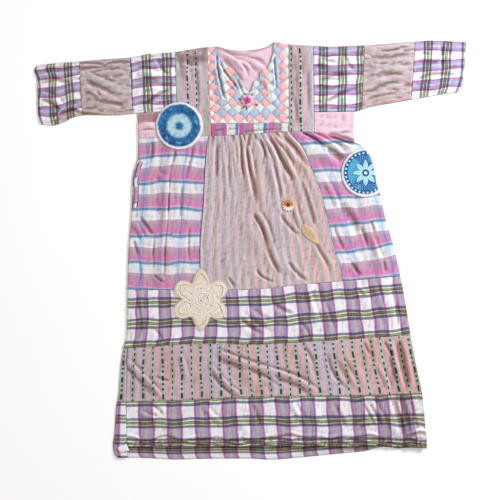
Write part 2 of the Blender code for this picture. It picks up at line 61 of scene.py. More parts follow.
class Seam:
    """A seam or edge through a few points: y follows x ("across") or x follows y ("down")."""

    def __init__(self, runs, *points):
        self.across = runs == "across"
        table = np.array(sorted(points, key=lambda point: point[0 if self.across else 1]))
        self.key = table[:, 0 if self.across else 1]
        self.value = table[:, 1 if self.across else 0]
        slope = np.diff(self.value) / np.diff(self.key)
        before, after = slope[:-1], slope[1:]
        same_way = before * after > 0
        safe_sum = np.where(same_way, before + after, 1.0)
        middle = np.where(same_way, 2 * before * after / safe_sum, 0.0)
        self.slope = np.concatenate((slope[:1], middle, slope[-1:]))

    def at(self, key):
        key = np.clip(key, self.key[0], self.key[-1])
        i = np.clip(np.searchsorted(self.key, key) - 1, 0, len(self.key) - 2)
        step = self.key[i + 1] - self.key[i]
        t = (key - self.key[i]) / step
        rise = t * t * (3 - 2 * t)
        start = t * (1 - t) * (1 - t) * step * self.slope[i]
        end = t * t * (1 - t) * step * self.slope[i + 1]
        return self.value[i] * (1 - rise) + self.value[i + 1] * rise + start - end

    def between(self, start, end):
        """The stretch between two corners: a share from 0 to 1 gives a point."""
        axis = 0 if self.across else 1

        def point(share):
            key = start[axis] + share * (end[axis] - start[axis])
            return pair(key, self.at(key)) if self.across else pair(self.at(key), key)
        return point


SHOULDER = Seam(
    "across", (-592, 504), (-584, 509), (-500, 517), (-403, 525), (-332, 530), (-272, 541),
    (-206, 545), (-123, 558), (-93, 560.5), (67, 573), (109, 566), (161, 563), (218, 560.5),
    (306, 563.5), (394, 570), (455, 574.5), (503, 577.5), (547, 575.6), (594, 572.6))
UNDERARM_LEFT = Seam(
    "across", (-577, 346), (-544, 343), (-513, 352), (-487, 365), (-447, 372), (-381, 371),
    (-311, 376), (-203, 382))
UNDERARM_RIGHT = Seam(
    "across", (176, 379), (286, 381), (328, 393), (394, 405), (451, 415), (503, 424),
    (547, 431), (574, 434))
SIDE_LEFT = Seam(
    "down", (-310.5, 378), (-308, 305), (-309, 258), (-318, 227), (-324, 195), (-327, 104),
    (-335, 0), (-338, -110), (-340, -239), (-348, -263), (-357, -316), (-363, -395),
    (-370, -438), (-373.5, -496), (-378, -539), (-375, -561), (-366, -572))
SIDE_RIGHT = Seam(
    "down", (287, 296), (315, 284), (330, 266.5), (341, 240), (350, 196), (370, 96), (398, -4),
    (427, -145), (446, -263), (462, -342), (474, -400), (481.5, -482), (485, -517), (485, -545))
GUSSET_EDGE_RIGHT = Seam("down", (286, 381), (284, 320), (287, 296))
ARM_SEAM_LEFT = Seam("down", (-207, 545), (-201.5, 305))
ARM_SEAM_RIGHT = Seam("down", (172.5, 563), (175.5, 318))
BACK_NECK = Seam(
    "across", (-209, 545), (-123, 558), (-93, 560.5), (-61, 552.5), (-23, 549), (16, 552.5),
    (45, 560), (67, 573), (109, 566), (172, 563))
WAIST = Seam(
    "across", (-310, 306.5), (-202, 310), (-110, 313), (0, 318), (105, 325.5), (175, 323),
    (253, 308), (287, 296))


def corner(across, down):
    """Where a seam that runs across meets one that runs down."""
    x, y = down.value.mean(), across.value.mean()
    for _ in range(30):
        x = float(down.at(y))
        y = float(across.at(x))
    return np.array((x, y))


class Panel:
    """A piece of the pattern inside four edges. u runs rightwards and v runs down, from 0 to 1."""

    def __init__(self, top, bottom, left, right):
        self.top, self.bottom, self.left, self.right = top, bottom, left, right
        share = np.linspace(0, 1, 60)
        steps = [np.hypot(*np.diff(edge(share), axis=0).T).sum() for edge in (top, bottom, left, right)]
        self.width = (steps[0] + steps[1]) / 2
        self.length = (steps[2] + steps[3]) / 2

    @classmethod
    def between(cls, top, bottom, left, right):
        """The piece between two seams that run across and two that run down."""
        (a, b), (c, d) = [[corner(across, down) for down in (left, right)] for across in (top, bottom)]
        return cls(top.between(a, b), bottom.between(c, d), left.between(a, c), right.between(b, d))

    def place(self, u, v):
        top, bottom, left, right = self.top(u), self.bottom(u), self.left(v), self.right(v)
        ends = [edge(np.array(share)) for edge in (self.top, self.bottom) for share in (0.0, 1.0)]
        u, v = u[..., None], v[..., None]
        rows = (1 - v) * top + v * bottom
        columns = (1 - u) * left + u * right
        corners = (1 - v) * ((1 - u) * ends[0] + u * ends[1]) + v * ((1 - u) * ends[2] + u * ends[3])
        return rows + columns - corners - BOX_MIDDLE


def height_on(node):
    """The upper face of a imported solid: places on it give their heights."""
    mesh = bpy.data.objects[node].data
    tree = BVHTree.FromPolygons([v.co for v in mesh.vertices], [f.vertices for f in mesh.polygons])
    down = Vector((0, 0, -1))

    def height(spot):
        found = np.empty(spot.shape[:-1])
        for index in np.ndindex(found.shape):
            x, y = spot[index] * MM
            hit = tree.ray_cast(Vector((x, y, 1.0)), down)[0]
            if hit is None:
                hit = tree.find_nearest(Vector((x, y, 0.02)))[0]
            found[index] = hit.z / MM
        return found
    return height


def soften(level, passes):
    """Blur a grid of heights."""
    for _ in range(passes):
        wide = np.pad(level, 1, mode="edge")
        sides = wide[:-2, 1:-1] + wide[2:, 1:-1] + wide[1:-1, :-2] + wide[1:-1, 2:]
        level = (sides + 4 * level) / 8
    return level


def smooth_step(value):
    share = np.clip(value, 0, 1)
    return share * share * (3 - 2 * share)


def arc(start, middle, end, count=14):
    """A smooth curve through three points."""
    start, middle, end = np.array((start, middle, end), float)
    share = np.linspace(0, 1, count)[:, None]
    bend = 2 * middle - (start + end) / 2
    return (1 - share) ** 2 * start + 2 * share * (1 - share) * bend + share ** 2 * end


CREASE_DEPTH = 1.15    # every crease in the tables is this much deeper


def creases(panel, table, spot):
    """Soft ridges, and troughs where the height is under nought, each along a curve.

    A row holds the curve's start, middle and end as shares of the panel, then its half width and
    its height, and its lean: how much wider the slope on its left is, for one that runs down.
    The cloth beside a ridge sinks a little, and beside a trough it stands up.
    """
    total = np.zeros(spot.shape[:-1])
    for start, middle, end, half_width, height, lean in table:
        curve = panel.place(*arc(start, middle, end, 13).T)
        step = np.diff(curve, axis=0)
        away = spot[..., None, :] - curve[:-1]
        along = np.clip((away * step).sum(axis=-1) / (step ** 2).sum(axis=-1), 0, 1)
        gap = np.hypot(*np.moveaxis(away - along[..., None] * step, -1, 0))
        nearest = gap.argmin(axis=-1)[..., None]
        travelled = (nearest + np.take_along_axis(along, nearest, -1))[..., 0] / len(step)
        gap = np.take_along_axis(gap, nearest, -1)[..., 0]
        cross = step[:, 0] * away[..., 1] - step[:, 1] * away[..., 0]
        side = np.sign(np.take_along_axis(cross, nearest, -1)[..., 0])
        taper = smooth_step(travelled * 3.4) * smooth_step((1 - travelled) * 2.6)
        gap = gap / (half_width * (1 - lean * side))
        ridge, hollow = np.exp(-gap ** 2), np.exp(-((gap - 1.8) / 0.85) ** 2)
        total += CREASE_DEPTH * height * taper * (ridge - 0.42 * hollow)
    return total


def chance(across, down, seed):
    """Smooth chance numbers between -1 and 1 over a grid of places."""
    pairs = zip(across.ravel(), down.ravel())
    return np.array([noise.noise(Vector((a, b, seed))) for a, b in pairs]).reshape(across.shape)


def crumple(spot, length, width, turn, seed):
    """Small chance creases, longer one way than the other: sharp ridges between soft hollows."""
    cos, sin = np.cos(np.radians(turn)), np.sin(np.radians(turn))
    along = (spot[..., 0] * cos + spot[..., 1] * sin) / length
    across = (spot[..., 1] * cos - spot[..., 0] * sin) / width
    return 0.35 - np.abs(chance(along, across, seed))


FACING = 900    # moved on by so much, the seam that faces another puckers in its own way


def seam_edges(panel, u, v, dip, pucker, seed):
    """The cloth sinks into its seams, and is drawn up in small puckers along them."""
    total = np.zeros_like(u)
    edges = ((v * panel.length, u * panel.width), ((1 - v) * panel.length, u * panel.width + FACING),
             (u * panel.width, v * panel.length), ((1 - u) * panel.width, v * panel.length + FACING))
    for number, (inside, along) in enumerate(edges):
        total -= dip * np.exp(-(inside / 1.9) ** 2)
        waves = chance(along / 7.5, inside / 30, seed + number)
        total += pucker * waves * np.exp(-inside / 9) * (1 - np.exp(-inside / 1.6))
    return total


def sew_sheet(name, node, slot, spot, level, threads, thickness=0.85, closed=False, shade=0.0):
    """Make a thin sheet through a grid of places, with its threads as the UV map.

    closed sews the last row to the first, as on a sleeve. shade is painted shade, added to how
    hollow the cloth lies; the material paints the cloth darker by both.
    """
    rows, columns = level.shape[0] - 1, level.shape[1] - 1
    bpy.ops.object.select_all(action="DESELECT")
    bpy.ops.mesh.primitive_grid_add(x_subdivisions=columns, y_subdivisions=rows, size=2)
    sheet = bpy.context.object
    sheet.name = name
    mesh = sheet.data
    flat = np.empty(len(mesh.vertices) * 3)
    mesh.vertices.foreach_get("co", flat)
    column = np.rint((flat[0::3] + 1) / 2 * columns).astype(int)
    row = np.rint((1 - flat[1::3]) / 2 * rows).astype(int)
    place = np.concatenate((spot, level[..., None]), axis=-1) * MM
    mesh.vertices.foreach_set("co", place[row, column].ravel())
    corner_vertex = np.empty(len(mesh.loops), dtype=int)
    mesh.loops.foreach_get("vertex_index", corner_vertex)
    mesh.uv_layers[0].data.foreach_set("uv", threads[row, column][corner_vertex].ravel())
    # Painted shade: how low the cloth lies against its surroundings, plus shade, darkens its colour.
    hollow = np.clip((soften(level, 30) - soften(level, 1)) / 1.2 + shade, -1, 1)
    mesh.attributes.new("hollow", "FLOAT", "POINT").data.foreach_set("value", hollow[row, column])
    if closed:
        bpy.ops.object.mode_set(mode="EDIT")
        bpy.ops.mesh.select_all(action="SELECT")
        bpy.ops.mesh.remove_doubles(threshold=1e-6)
        bpy.ops.object.mode_set(mode="OBJECT")
    wall = sheet.modifiers.new("Thickness", "SOLIDIFY")
    wall.thickness = thickness * MM
    wall.offset = -1
    bpy.ops.object.modifier_apply(modifier=wall.name)
    bpy.ops.object.shade_smooth()
    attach(sheet, "root")
    if node:
        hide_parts(node)
    return sheet


def grid_shares(panel, cell):
    """Shares of the panel for a grid with cells of about this size."""
    columns, rows = max(int(panel.width / cell), 3), max(int(panel.length / cell), 3)
    edge_u, edge_v = HALF_GAP / panel.width, HALF_GAP / panel.length
    return np.meshgrid(
        np.linspace(edge_u, 1 - edge_u, columns + 1), np.linspace(edge_v, 1 - edge_v, rows + 1))


BACK_CELL = 6.5     # the back is hidden, so its grid is coarse
BACK_TOP = 0.95     # the height of the upper face of cloth that lies flat


def back_sheet(name, node, slot, panel, threads, seed):
    """A back piece: flat on what the dress lies on, with soft pressed creases."""
    u, v = grid_shares(panel, BACK_CELL)
    spot = panel.place(u, v)
    inside = np.minimum(np.minimum(u, 1 - u) * panel.width, np.minimum(v, 1 - v) * panel.length)
    soft = np.maximum(crumple(spot, 150, 34, 78, seed), 0)
    soft += np.maximum(crumple(spot, 90, 30, 20, seed + 5), 0)
    level = BACK_TOP + soft * smooth_step((inside - 4) / 24)
    return sew_sheet(name, node, slot, spot, level, threads(u, v))


class Amount:
    """A number or colour that changes over a surface. Sums on it add Math nodes."""

    def __init__(self, paint, socket):
        self.paint, self.socket = paint, socket

    def sum(self, operation, *values, clamp=False):
        settings = {"operation": operation, "use_clamp": clamp}
        return self.paint.node("ShaderNodeMath", settings, dict(enumerate(values)))

    def __add__(self, other):
        return self.sum("ADD", self, other)

    def __sub__(self, other):
        return self.sum("SUBTRACT", self, other)

    def __rsub__(self, other):
        return self.sum("SUBTRACT", other, self)

    def __mul__(self, other):
        return self.sum("MULTIPLY", self, other)

    def __truediv__(self, other):
        return self.sum("DIVIDE", self, other)

    def __pow__(self, other):
        return self.sum("POWER", self, other)

    __radd__ = __add__
    __rmul__ = __mul__

    def fraction(self):
        return self.sum("FRACT", self)

    def size(self):
        return self.sum("ABSOLUTE", self)

    def floor(self):
        return self.sum("FLOOR", self)

    def sine(self):
        return self.sum("SINE", self)

    def least(self, other):
        return self.sum("MINIMUM", self, other)

    def most(self, other):
        return self.sum("MAXIMUM", self, other)

    def clamp(self):
        return self.sum("ADD", self, 0.0, clamp=True)

    def above(self, edge, soft=0.01):
        """One where this is over an edge, nought under it."""
        return self.sum("MULTIPLY", self - (edge - soft / 2), 1 / soft, clamp=True)

    def between(self, low, high, soft=0.01):
        return self.above(low, soft) * (1 - self.above(high, soft))

    def from_whole(self):
        """How far this is from the nearest whole number."""
        return ((self + 0.5).fraction() - 0.5).size()


def dye(red, green, blue):
    """A colour as seen, each part from 0 to 255, as the shader needs it."""
    parts = np.array((red, green, blue)) / 255
    linear = np.where(parts > 0.04045, ((parts + 0.055) / 1.055) ** 2.4, parts / 12.92)
    return (*linear.tolist(), 1.0)


WASHED = 0.83         # old cotton throws back this share of the light of new
THREAD_STEP = 0.5     # mm from one thread of a weave to the next
WRINKLES = 0.84       # mm from the bottom to the top of the finest wrinkles, at the most


class Paint:
    """A material for one cloth or thread."""

    def __init__(self, name):
        self.material = bpy.data.materials.new(name)
        self.material.use_nodes = True
        self.tree = self.material.node_tree
        self.shader = self.tree.nodes["Principled BSDF"]

    def node(self, kind, settings=None, inputs=None, output=0):
        """Add a node. Its settings come first, then a value or a link for each socket."""
        node = self.tree.nodes.new(kind)
        for key, value in (settings or {}).items():
            if key == "stops":
                self.set_stops(node.color_ramp, value)
            else:
                setattr(node, key, value)
        for socket, value in (inputs or {}).items():
            if isinstance(value, Amount):
                self.tree.links.new(value.socket, node.inputs[socket])
            else:
                node.inputs[socket].default_value = value
        return Amount(self, node.outputs[output])

    def set_stops(self, ramp, stops):
        ramp.elements[0].position, ramp.elements[0].color = stops[0]
        ramp.elements[1].position, ramp.elements[1].color = stops[1]
        for position, colour in stops[2:]:
            ramp.elements.new(position).color = colour

    def bands(self, value, table, soft=0.006):
        """Colour bands from 0 up: each row holds where a band ends and its colour."""
        stops = [(0.0, table[0][1])]
        for (end, colour), (_, after) in zip(table, table[1:]):
            stops += [(end - soft, colour), (end + soft, after)]
        return self.node("ShaderNodeValToRGB", {"stops": stops}, {0: value})

    def mix(self, factor, below, above, way="MIX"):
        settings = {"data_type": "RGBA", "blend_type": way}
        return self.node("ShaderNodeMix", settings, {0: factor, 6: below, 7: above}, output=2)

    def shade(self, colour, amount):
        """Multiply a colour by a number."""
        grey = self.node("ShaderNodeCombineColor", None, {0: amount, 1: amount, 2: amount})
        return self.mix(1.0, colour, grey, "MULTIPLY")

    def noise(self, scale, detail=2.0, stretch=(1, 1, 1), on="Object"):
        place = self.node("ShaderNodeTexCoord", None, None, on)
        place = self.node("ShaderNodeMapping", None, {"Vector": place, "Scale": stretch})
        return self.node("ShaderNodeTexNoise", None, {"Vector": place, "Scale": scale, "Detail": detail})

    def streaks(self, across, down, detail=2.0):
        """Noise on the threads, with about so many waves to a repeat across and down."""
        return self.noise(1.0, detail, (across, down, 1), "UV")

    def threads(self):
        """How many repeats of the cloth lie before this point, across and down."""
        place = self.node("ShaderNodeTexCoord", None, None, "UV")
        split = self.node("ShaderNodeSeparateXYZ", None, {0: place})
        return split, Amount(self, split.socket.node.outputs[1])

    def finish(self, colour, height, depth=0.12, roughness=0.86, sheen=0.12):
        """Join the colour and the relief to the shader: depth in mm is the height of one unit.

        Painted shade browns and darkens the hollows, and a painted highlight lightens the ridges.
        """
        fine = (self.noise(44.0, 3.0, (1.0, 0.6, 1.0)) - 0.5).size()
        fine = fine + (self.noise(95.0, 2.0) - 0.5).size() * 0.5
        height = height + fine * (WRINKLES / depth)
        fade = self.noise(7.0, 4.0) * 0.16 + 0.92
        hollow = self.node("ShaderNodeAttribute", {"attribute_name": "hollow"}, None, "Fac")
        # Painted highlight: ridges, where the hollow attribute is under nought, are made up to a tenth
        # lighter.
        light = 1 + (hollow * -0.10).clamp()
        # Painted shade: hollows are mixed towards a browner, darker copy of the colour.
        painted_shade_colour = self.mix(1.0, colour, dye(184, 164, 150), "MULTIPLY")
        colour = self.mix((hollow * 0.9).clamp(), colour, painted_shade_colour)
        colour = self.shade(colour, fade * light * WASHED)
        bump = self.node(
            "ShaderNodeBump", None, {"Strength": 1.0, "Distance": depth * MM, "Height": height})
        shader = self.shader.inputs
        for socket, value in (("Base Color", colour), ("Normal", bump)):
            self.tree.links.new(value.socket, shader[socket])
        rough = (fade * -0.5 + (roughness + 0.5)).clamp()
        self.tree.links.new(rough.socket, shader["Roughness"])
        shader["Sheen Weight"].default_value = sheen
        shader["Sheen Roughness"].default_value = 0.5
        shader["Specular IOR Level"].default_value = 0.25
        return self.material

    def weave(self, across, down, repeat):
        """Plain weave: threads go over and under. repeat is the pattern's size in mm."""
        warp, weft = [(place * (np.pi * size / THREAD_STEP)).sine()
                      for place, size in zip((across, down), repeat)]
        return warp * weft * 0.5 + 0.5

    def slubs(self, repeat):
        """Thicker and paler threads, as streaks both ways."""
        warp = self.streaks(repeat[0] / 1.6, repeat[1] / 70)
        weft = self.streaks(repeat[0] / 70, repeat[1] / 1.6)
        return (warp + weft) * 0.34 + 0.66


PINK_REPEAT = (10.0, 10.0)
pink = Paint("pink_cotton_cloth")
across, down = pink.threads()
pink_colour = pink.shade(dye(238, 204, 218), pink.slubs(PINK_REPEAT))
pink_cotton = pink.finish(pink_colour, pink.weave(across, down, PINK_REPEAT))


def pink_threads(panel):
    def threads(u, v):
        return pair(u * panel.width, -v * panel.length) / PINK_REPEAT
    return threads


back_yoke = Panel.between(BACK_NECK, WAIST, ARM_SEAM_LEFT, ARM_SEAM_RIGHT)
YOKE_CREASES = (
    ((0.309, 0.043), (0.467, 0.158), (0.509, 0.36), 5.0, 2.8, 0.3),
    ((0.338, 0.124), (0.425, 0.231), (0.496, 0.40), 5.0, -2.6, 0.0),
    ((0.396, 0.100), (0.509, 0.158), (0.553, 0.278), 4.0, 2.0, 0.0),
    ((0.467, 0.068), (0.580, 0.100), (0.667, 0.190), 4.0, -2.0, 0.0),
    ((0.546, 0.137), (0.612, 0.200), (0.665, 0.286), 6.0, 1.8, 0.0),
    ((0.320, 0.017), (0.467, 0.047), (0.625, 0.030), 4.0, -1.6, 0.0),
)
u, v = grid_shares(back_yoke, 3.2)
spot = back_yoke.place(u, v)
in_neck = smooth_step((u - 0.27) * 14) * smooth_step((0.72 - u) * 14) * smooth_step((0.52 - v) * 8)
relief = 1.3 + 1.3 * creases(back_yoke, YOKE_CREASES, spot) + 1.6 * crumple(spot, 60, 8, -35, 3.1)
level = BACK_TOP + np.logaddexp(0, relief * 3) / 3 * in_neck * smooth_step(v * 25)
shade = 0.5 * np.exp(-(v / 0.05) ** 2) + 0.45 * smooth_step((0.42 - u) * 7) * smooth_step((0.5 - v) * 5)
sheet = sew_sheet(
    "back_yoke_cloth", "back_yoke", "pink_cotton", spot, level, pink_threads(back_yoke)(u, v), shade=shade)
sheet.data.materials.append(pink_cotton)

for name, node, edges, seed, cut, area in (
        ("back_gusset_left_cloth", "back_gusset_left", (UNDERARM_LEFT, WAIST, SIDE_LEFT, ARM_SEAM_LEFT), 7.2,
         (0.11, 0.08), 0.0078),
        ("back_gusset_right_cloth", "back_gusset_right",
         (UNDERARM_RIGHT, WAIST, ARM_SEAM_RIGHT, GUSSET_EDGE_RIGHT), 9.4, (0.12, 0.085), 0.0078)):
    panel = Panel.between(*edges)
    sheet = back_sheet(name, node, "pink_cotton", panel, pink_threads(panel), seed)
    sheet.data.materials.append(pink_cotton)


# Front gussets. The same plain pink cotton, cut in a four-sided piece under each sleeve, so that
# the arm can lift. They lie loosely on the back ones. Sewn-on motifs keep the cloth under them
# smooth, so their places come here.

PATCH_LEFT = dict(x=-195.0, y=341.0, radius=65.0)
PATCH_RIGHT = dict(x=317.0, y=212.0, radius=67.0)
DOILY = dict(x=-135.0, y=-139.0, radius=84.0)
ROSETTE = dict(x=-8.0, y=411.0, radius=20.0)
SMALL_FLOWER = dict(x=104.0, y=124.0, radius=17.5)
LEAF = dict(x=164.0, y=44.0, radius=26.0)


def calm(spot):
    """Nought under a sewn-on motif, rising to one outside it."""
    share = np.ones(spot.shape[:-1])
    for motif in (PATCH_LEFT, PATCH_RIGHT, DOILY, ROSETTE, SMALL_FLOWER, LEAF):
        x, y = spot[..., 0] + BOX_MIDDLE[0] - motif["x"], spot[..., 1] + BOX_MIDDLE[1] - motif["y"]
        share = share * smooth_step((np.hypot(x, y) - motif["radius"] + 2) / 14)
    return share


def drifted(panel, u, v, spot, seed):
    """The shares again, moved a little and unevenly, as threads lie in cloth that has been worn."""
    aside, down = [chance(spot[..., 0] / 42, spot[..., 1] / 42, seed + more) for more in (0.0, 4.4)]
    return u + 3.4 * aside / panel.width, v + 4.6 * down / panel.length


FRONT_LOW = 1.9    # the front's upper face stays above the back, and settles softly towards this height


def front_sheet(name, node, slot, panel, cloth, threads, table, seed, cell=3.0, worn=0.9, pucker=0.9,
                extra=None, shade=None):
    """A front piece on the form of its solid, with its creases, small creases and seam puckers."""
    u, v = grid_shares(panel, cell)
    spot = panel.place(u, v)
    level = soften(height_on(node)(spot), 9)
    relief = creases(panel, table, spot)
    relief += worn * (1.5 * crumple(spot, 48, 9, 86, seed) + 1.0 * crumple(spot, 24, 8, 24, seed + 2))
    if extra is not None:
        relief += extra(u, v, spot)
    level += relief * calm(spot) + seam_edges(panel, u, v, 0.35, pucker, seed)
    level = FRONT_LOW + 0.9 * np.logaddexp(0, (level - FRONT_LOW) / 0.9)
    shade = shade(u, v) if shade else 0.0
    threads = threads(*drifted(panel, u, v, spot, seed))
    sheet = sew_sheet(name, node, slot, spot, level, threads, shade=shade)
    sheet.data.materials.append(cloth)
    return sheet


gusset_left = Panel.between(UNDERARM_LEFT, WAIST, SIDE_LEFT, ARM_SEAM_LEFT)
sheet = front_sheet(
    "gusset_left_cloth", "front_gusset_left", "pink_cotton", gusset_left, pink_cotton,
    pink_threads(gusset_left), (((-0.1, 0.18), (0.35, 0.20), (0.90, 0.24), 15, -5.0, 0.0),
                                ((0.05, 0.30), (0.30, 0.42), (0.62, 0.46), 7, 2.4, 0.2),
                                ((0.0, 0.70), (0.25, 0.64), (0.5, 0.7), 4, -1.8, 0.0)), 11.3,
    shade=lambda u, v: 0.85 * smooth_step((0.44 + 0.1 * u - v) * 9))
gusset_right = Panel.between(UNDERARM_RIGHT, WAIST, ARM_SEAM_RIGHT, GUSSET_EDGE_RIGHT)
sheet = front_sheet(
    "gusset_right_cloth", "front_gusset_right", "pink_cotton", gusset_right, pink_cotton,
    pink_threads(gusset_right), (((0.02, 0.30), (0.35, 0.42), (0.90, 0.36), 9, 0.9, 0.2),
                                 ((0.30, 0.98), (0.62, 0.84), (0.98, 0.62), 6, -3.4, 0.3),
                                 ((0.05, 0.75), (0.35, 0.80), (0.86, 0.66), 8, 1.2, -0.2),
                                 ((0.70, -0.04), (0.73, 0.22), (0.70, 0.56), 7, -0.8, 0.0),
                                 ((0.45, 1.02), (0.75, 0.96), (1.02, 0.98), 5, -5.0, 0.0)), 13.8, worn=0.7,
    shade=lambda u, v: 0.9 * smooth_step((v - 0.93 + 0.1 * u) * 12) * smooth_step((u - 0.3) * 4))


# Side panels and back skirt. A cotton with broad cross stripes in pink, mauve, cream and teal.
# The front has a panel on each side of the centre one; the left one has a crease pressed down
# its middle. The back skirt is one wide piece.

PANEL_SEAM_LEFT = Seam("down", (-117, 313), (-125, 205), (-129, 117), (-136, 38), (-138, 0), (-136, -112))
PANEL_SEAM_RIGHT = Seam(
    "down", (108, 326), (118, 313), (144, 284), (166, 232), (188, 179), (205, 117), (232, 0),
    (245, -38), (254, -88))
TIER_SEAM_1 = Seam(
    "across", (-338, -110), (-31, -110), (32, -107), (156, -94), (291, -83), (420, -72))

CROSS_STRIPE_DOWN = (
    (0.095, dye(128, 160, 186)), (0.13, dye(216, 232, 240)), (0.27, dye(240, 244, 248)),
    (0.33, dye(232, 240, 236)), (0.45, dye(242, 243, 248)), (0.50, dye(202, 178, 194)),
    (0.58, dye(214, 168, 194)), (0.68, dye(192, 168, 182)), (0.75, dye(208, 156, 188)),
    (0.94, dye(224, 146, 190)), (1.00, dye(208, 188, 224)))
CROSS_STRIPE_ALONG = (
    (0.12, dye(250, 248, 250)), (0.15, dye(222, 236, 250)), (0.17, dye(186, 212, 242)),
    (0.22, dye(224, 236, 248)), (0.34, dye(252, 248, 244)), (0.40, dye(236, 226, 236)),
    (0.46, dye(224, 214, 228)), (0.50, dye(246, 246, 248)), (0.515, dye(255, 255, 255)),
    (0.57, dye(250, 230, 234)), (0.69, dye(250, 248, 250)), (0.705, dye(190, 214, 244)),
    (0.74, dye(226, 230, 248)), (0.80, dye(240, 240, 250)), (0.88, dye(255, 250, 246)),
    (1.00, dye(240, 238, 248)))


def cross_stripe_cotton(name, repeat):
    paint = Paint(name)
    across, down = paint.threads()
    stripe = paint.bands(down.fraction(), CROSS_STRIPE_DOWN)
    tint = paint.bands(across.fraction(), CROSS_STRIPE_ALONG, 0.004)
    colour = paint.shade(paint.mix(1.0, stripe, tint, "MULTIPLY"), paint.slubs(repeat))
    return paint.finish(colour, paint.weave(across, down, repeat))


madras = cross_stripe_cotton("madras_cotton_cloth", (190.0, 72.0))
side_left = Panel.between(WAIST, TIER_SEAM_1, SIDE_LEFT, PANEL_SEAM_LEFT)
SIDE_LEFT_CREASES = (
    ((0.512, 0.08), (0.516, 0.50), (0.510, 0.95), 2.2, -1.7, 0.0),
    ((0.512, 0.35), (0.514, 0.43), (0.512, 0.54), 3.0, -2.0, 0.2),
    ((0.512, 0.68), (0.510, 0.82), (0.508, 0.95), 3.0, -2.2, 0.2),
    ((0.350, 0.89), (0.430, 0.93), (0.510, 0.95), 3.6, -2.6, 0.0),
    ((0.100, 0.50), (0.240, 0.58), (0.353, 0.650), 5.0, -3.0, 0.3),
    ((0.050, 0.55), (0.150, 0.62), (0.240, 0.70), 5.0, 2.2, 0.0),
    ((0.364, 0.60), (0.350, 0.75), (0.364, 0.90), 3.0, -1.6, 0.0),
    ((0.190, 0.00), (0.200, 0.08), (0.190, 0.17), 4.5, -2.6, -0.3),
    ((0.560, 0.02), (0.545, 0.10), (0.540, 0.20), 4.0, -2.0, 0.2),
    ((0.800, 0.02), (0.790, 0.12), (0.740, 0.30), 4.5, -2.2, 0.0),
    ((0.700, 0.28), (0.690, 0.42), (0.700, 0.58), 5.0, -1.5, 0.0),
    ((0.060, 0.66), (0.110, 0.72), (0.150, 0.79), 4.5, -2.6, 0.3),
    ((0.820, 0.56), (0.840, 0.70), (0.850, 0.86), 4.0, -1.6, 0.0),
    ((0.160, 0.80), (0.180, 0.88), (0.170, 0.97), 4.0, -1.6, 0.0),
    ((0.300, 0.20), (0.420, 0.26), (0.520, 0.24), 6.0, 1.6, 0.0),
)


def side_left_threads(u, v):
    slope = 0.020 * np.sin(np.pi * np.clip((u - 0.05) / 0.9, 0, 1)) * np.cos(2.4 * v)
    return pair(u, (v - 0.126 + slope) / 0.171)


sheet = front_sheet(
    "side_panel_left_cloth", "front_side_panel_left", "madras_cotton", side_left, madras,
    side_left_threads, SIDE_LEFT_CREASES, 21.7, worn=1.0)

side_right = Panel.between(WAIST, TIER_SEAM_1, PANEL_SEAM_RIGHT, SIDE_RIGHT)
SIDE_RIGHT_CREASES = (
    ((0.16, 0.00), (0.26, 0.03), (0.36, 0.085), 3.5, -6.0, 0.0),
    ((0.34, 0.10), (0.46, 0.14), (0.60, 0.20), 9.0, -6.0, 0.3),
    ((0.24, 0.00), (0.40, 0.05), (0.62, 0.12), 6.0, 4.4, 0.2),
    ((0.55, 0.00), (0.70, 0.03), (0.86, 0.05), 4.0, -6.0, 0.0),
    ((0.287, 0.45), (0.43, 0.60), (0.58, 0.77), 12.0, -3.4, 0.2),
    ((0.548, 0.62), (0.556, 0.71), (0.563, 0.80), 4.0, -2.6, 0.0),
    ((0.728, 0.59), (0.740, 0.64), (0.752, 0.69), 4.0, -2.4, 0.0),
    ((0.200, 0.87), (0.270, 0.93), (0.340, 0.98), 5.0, -3.0, 0.0),
    ((0.773, 0.86), (0.773, 0.92), (0.775, 0.97), 4.0, -2.2, 0.0),
    ((0.120, 0.30), (0.200, 0.42), (0.250, 0.56), 6.0, 2.2, 0.0),
    ((0.640, 0.66), (0.700, 0.78), (0.720, 0.92), 6.0, 2.0, 0.0),
    ((0.080, 0.60), (0.120, 0.72), (0.200, 0.84), 5.0, -2.0, 0.0),
)


def side_right_threads(u, v):
    rise = (0.055 * u ** 2 + 0.06 * u * np.clip(0.35 - v, 0, 1)) * smooth_step((1.0 - v) * 5)
    return pair(0.97 - 0.9 * u, (v - 0.075 + rise) / 0.182)


sheet = front_sheet(
    "side_panel_right_cloth", "front_side_panel_right", "madras_cotton", side_right, madras,
    side_right_threads, SIDE_RIGHT_CREASES, 23.1, worn=1.0)

back_skirt = Panel.between(WAIST, TIER_SEAM_1, SIDE_LEFT, SIDE_RIGHT)
sheet = back_sheet(
    "back_skirt_cloth", "back_skirt", "madras_cotton", back_skirt,
    lambda u, v: pair(u * 3.4, (v - 0.126) / 0.171), 25.5)
sheet.data.materials.append(madras)


# Centre panel. Narrow stripes in pink, lilac and sage, gathered at the top on to the band under
# the bib, so that it falls in soft folds that open out lower down.

STRIPE_REPEAT = (25.0, 25.0)
PINK_HUES = (
    (0.00, dye(212, 182, 210)), (0.26, dye(218, 184, 206)), (0.36, dye(226, 176, 190)),
    (0.44, dye(228, 172, 172)), (0.51, dye(226, 180, 190)), (0.56, dye(208, 186, 220)),
    (0.64, dye(226, 184, 206)), (0.74, dye(228, 180, 196)), (0.86, dye(230, 172, 174)),
    (1.00, dye(226, 174, 186)))


STRIPES = 15.6    # how many sage stripes there are over the width


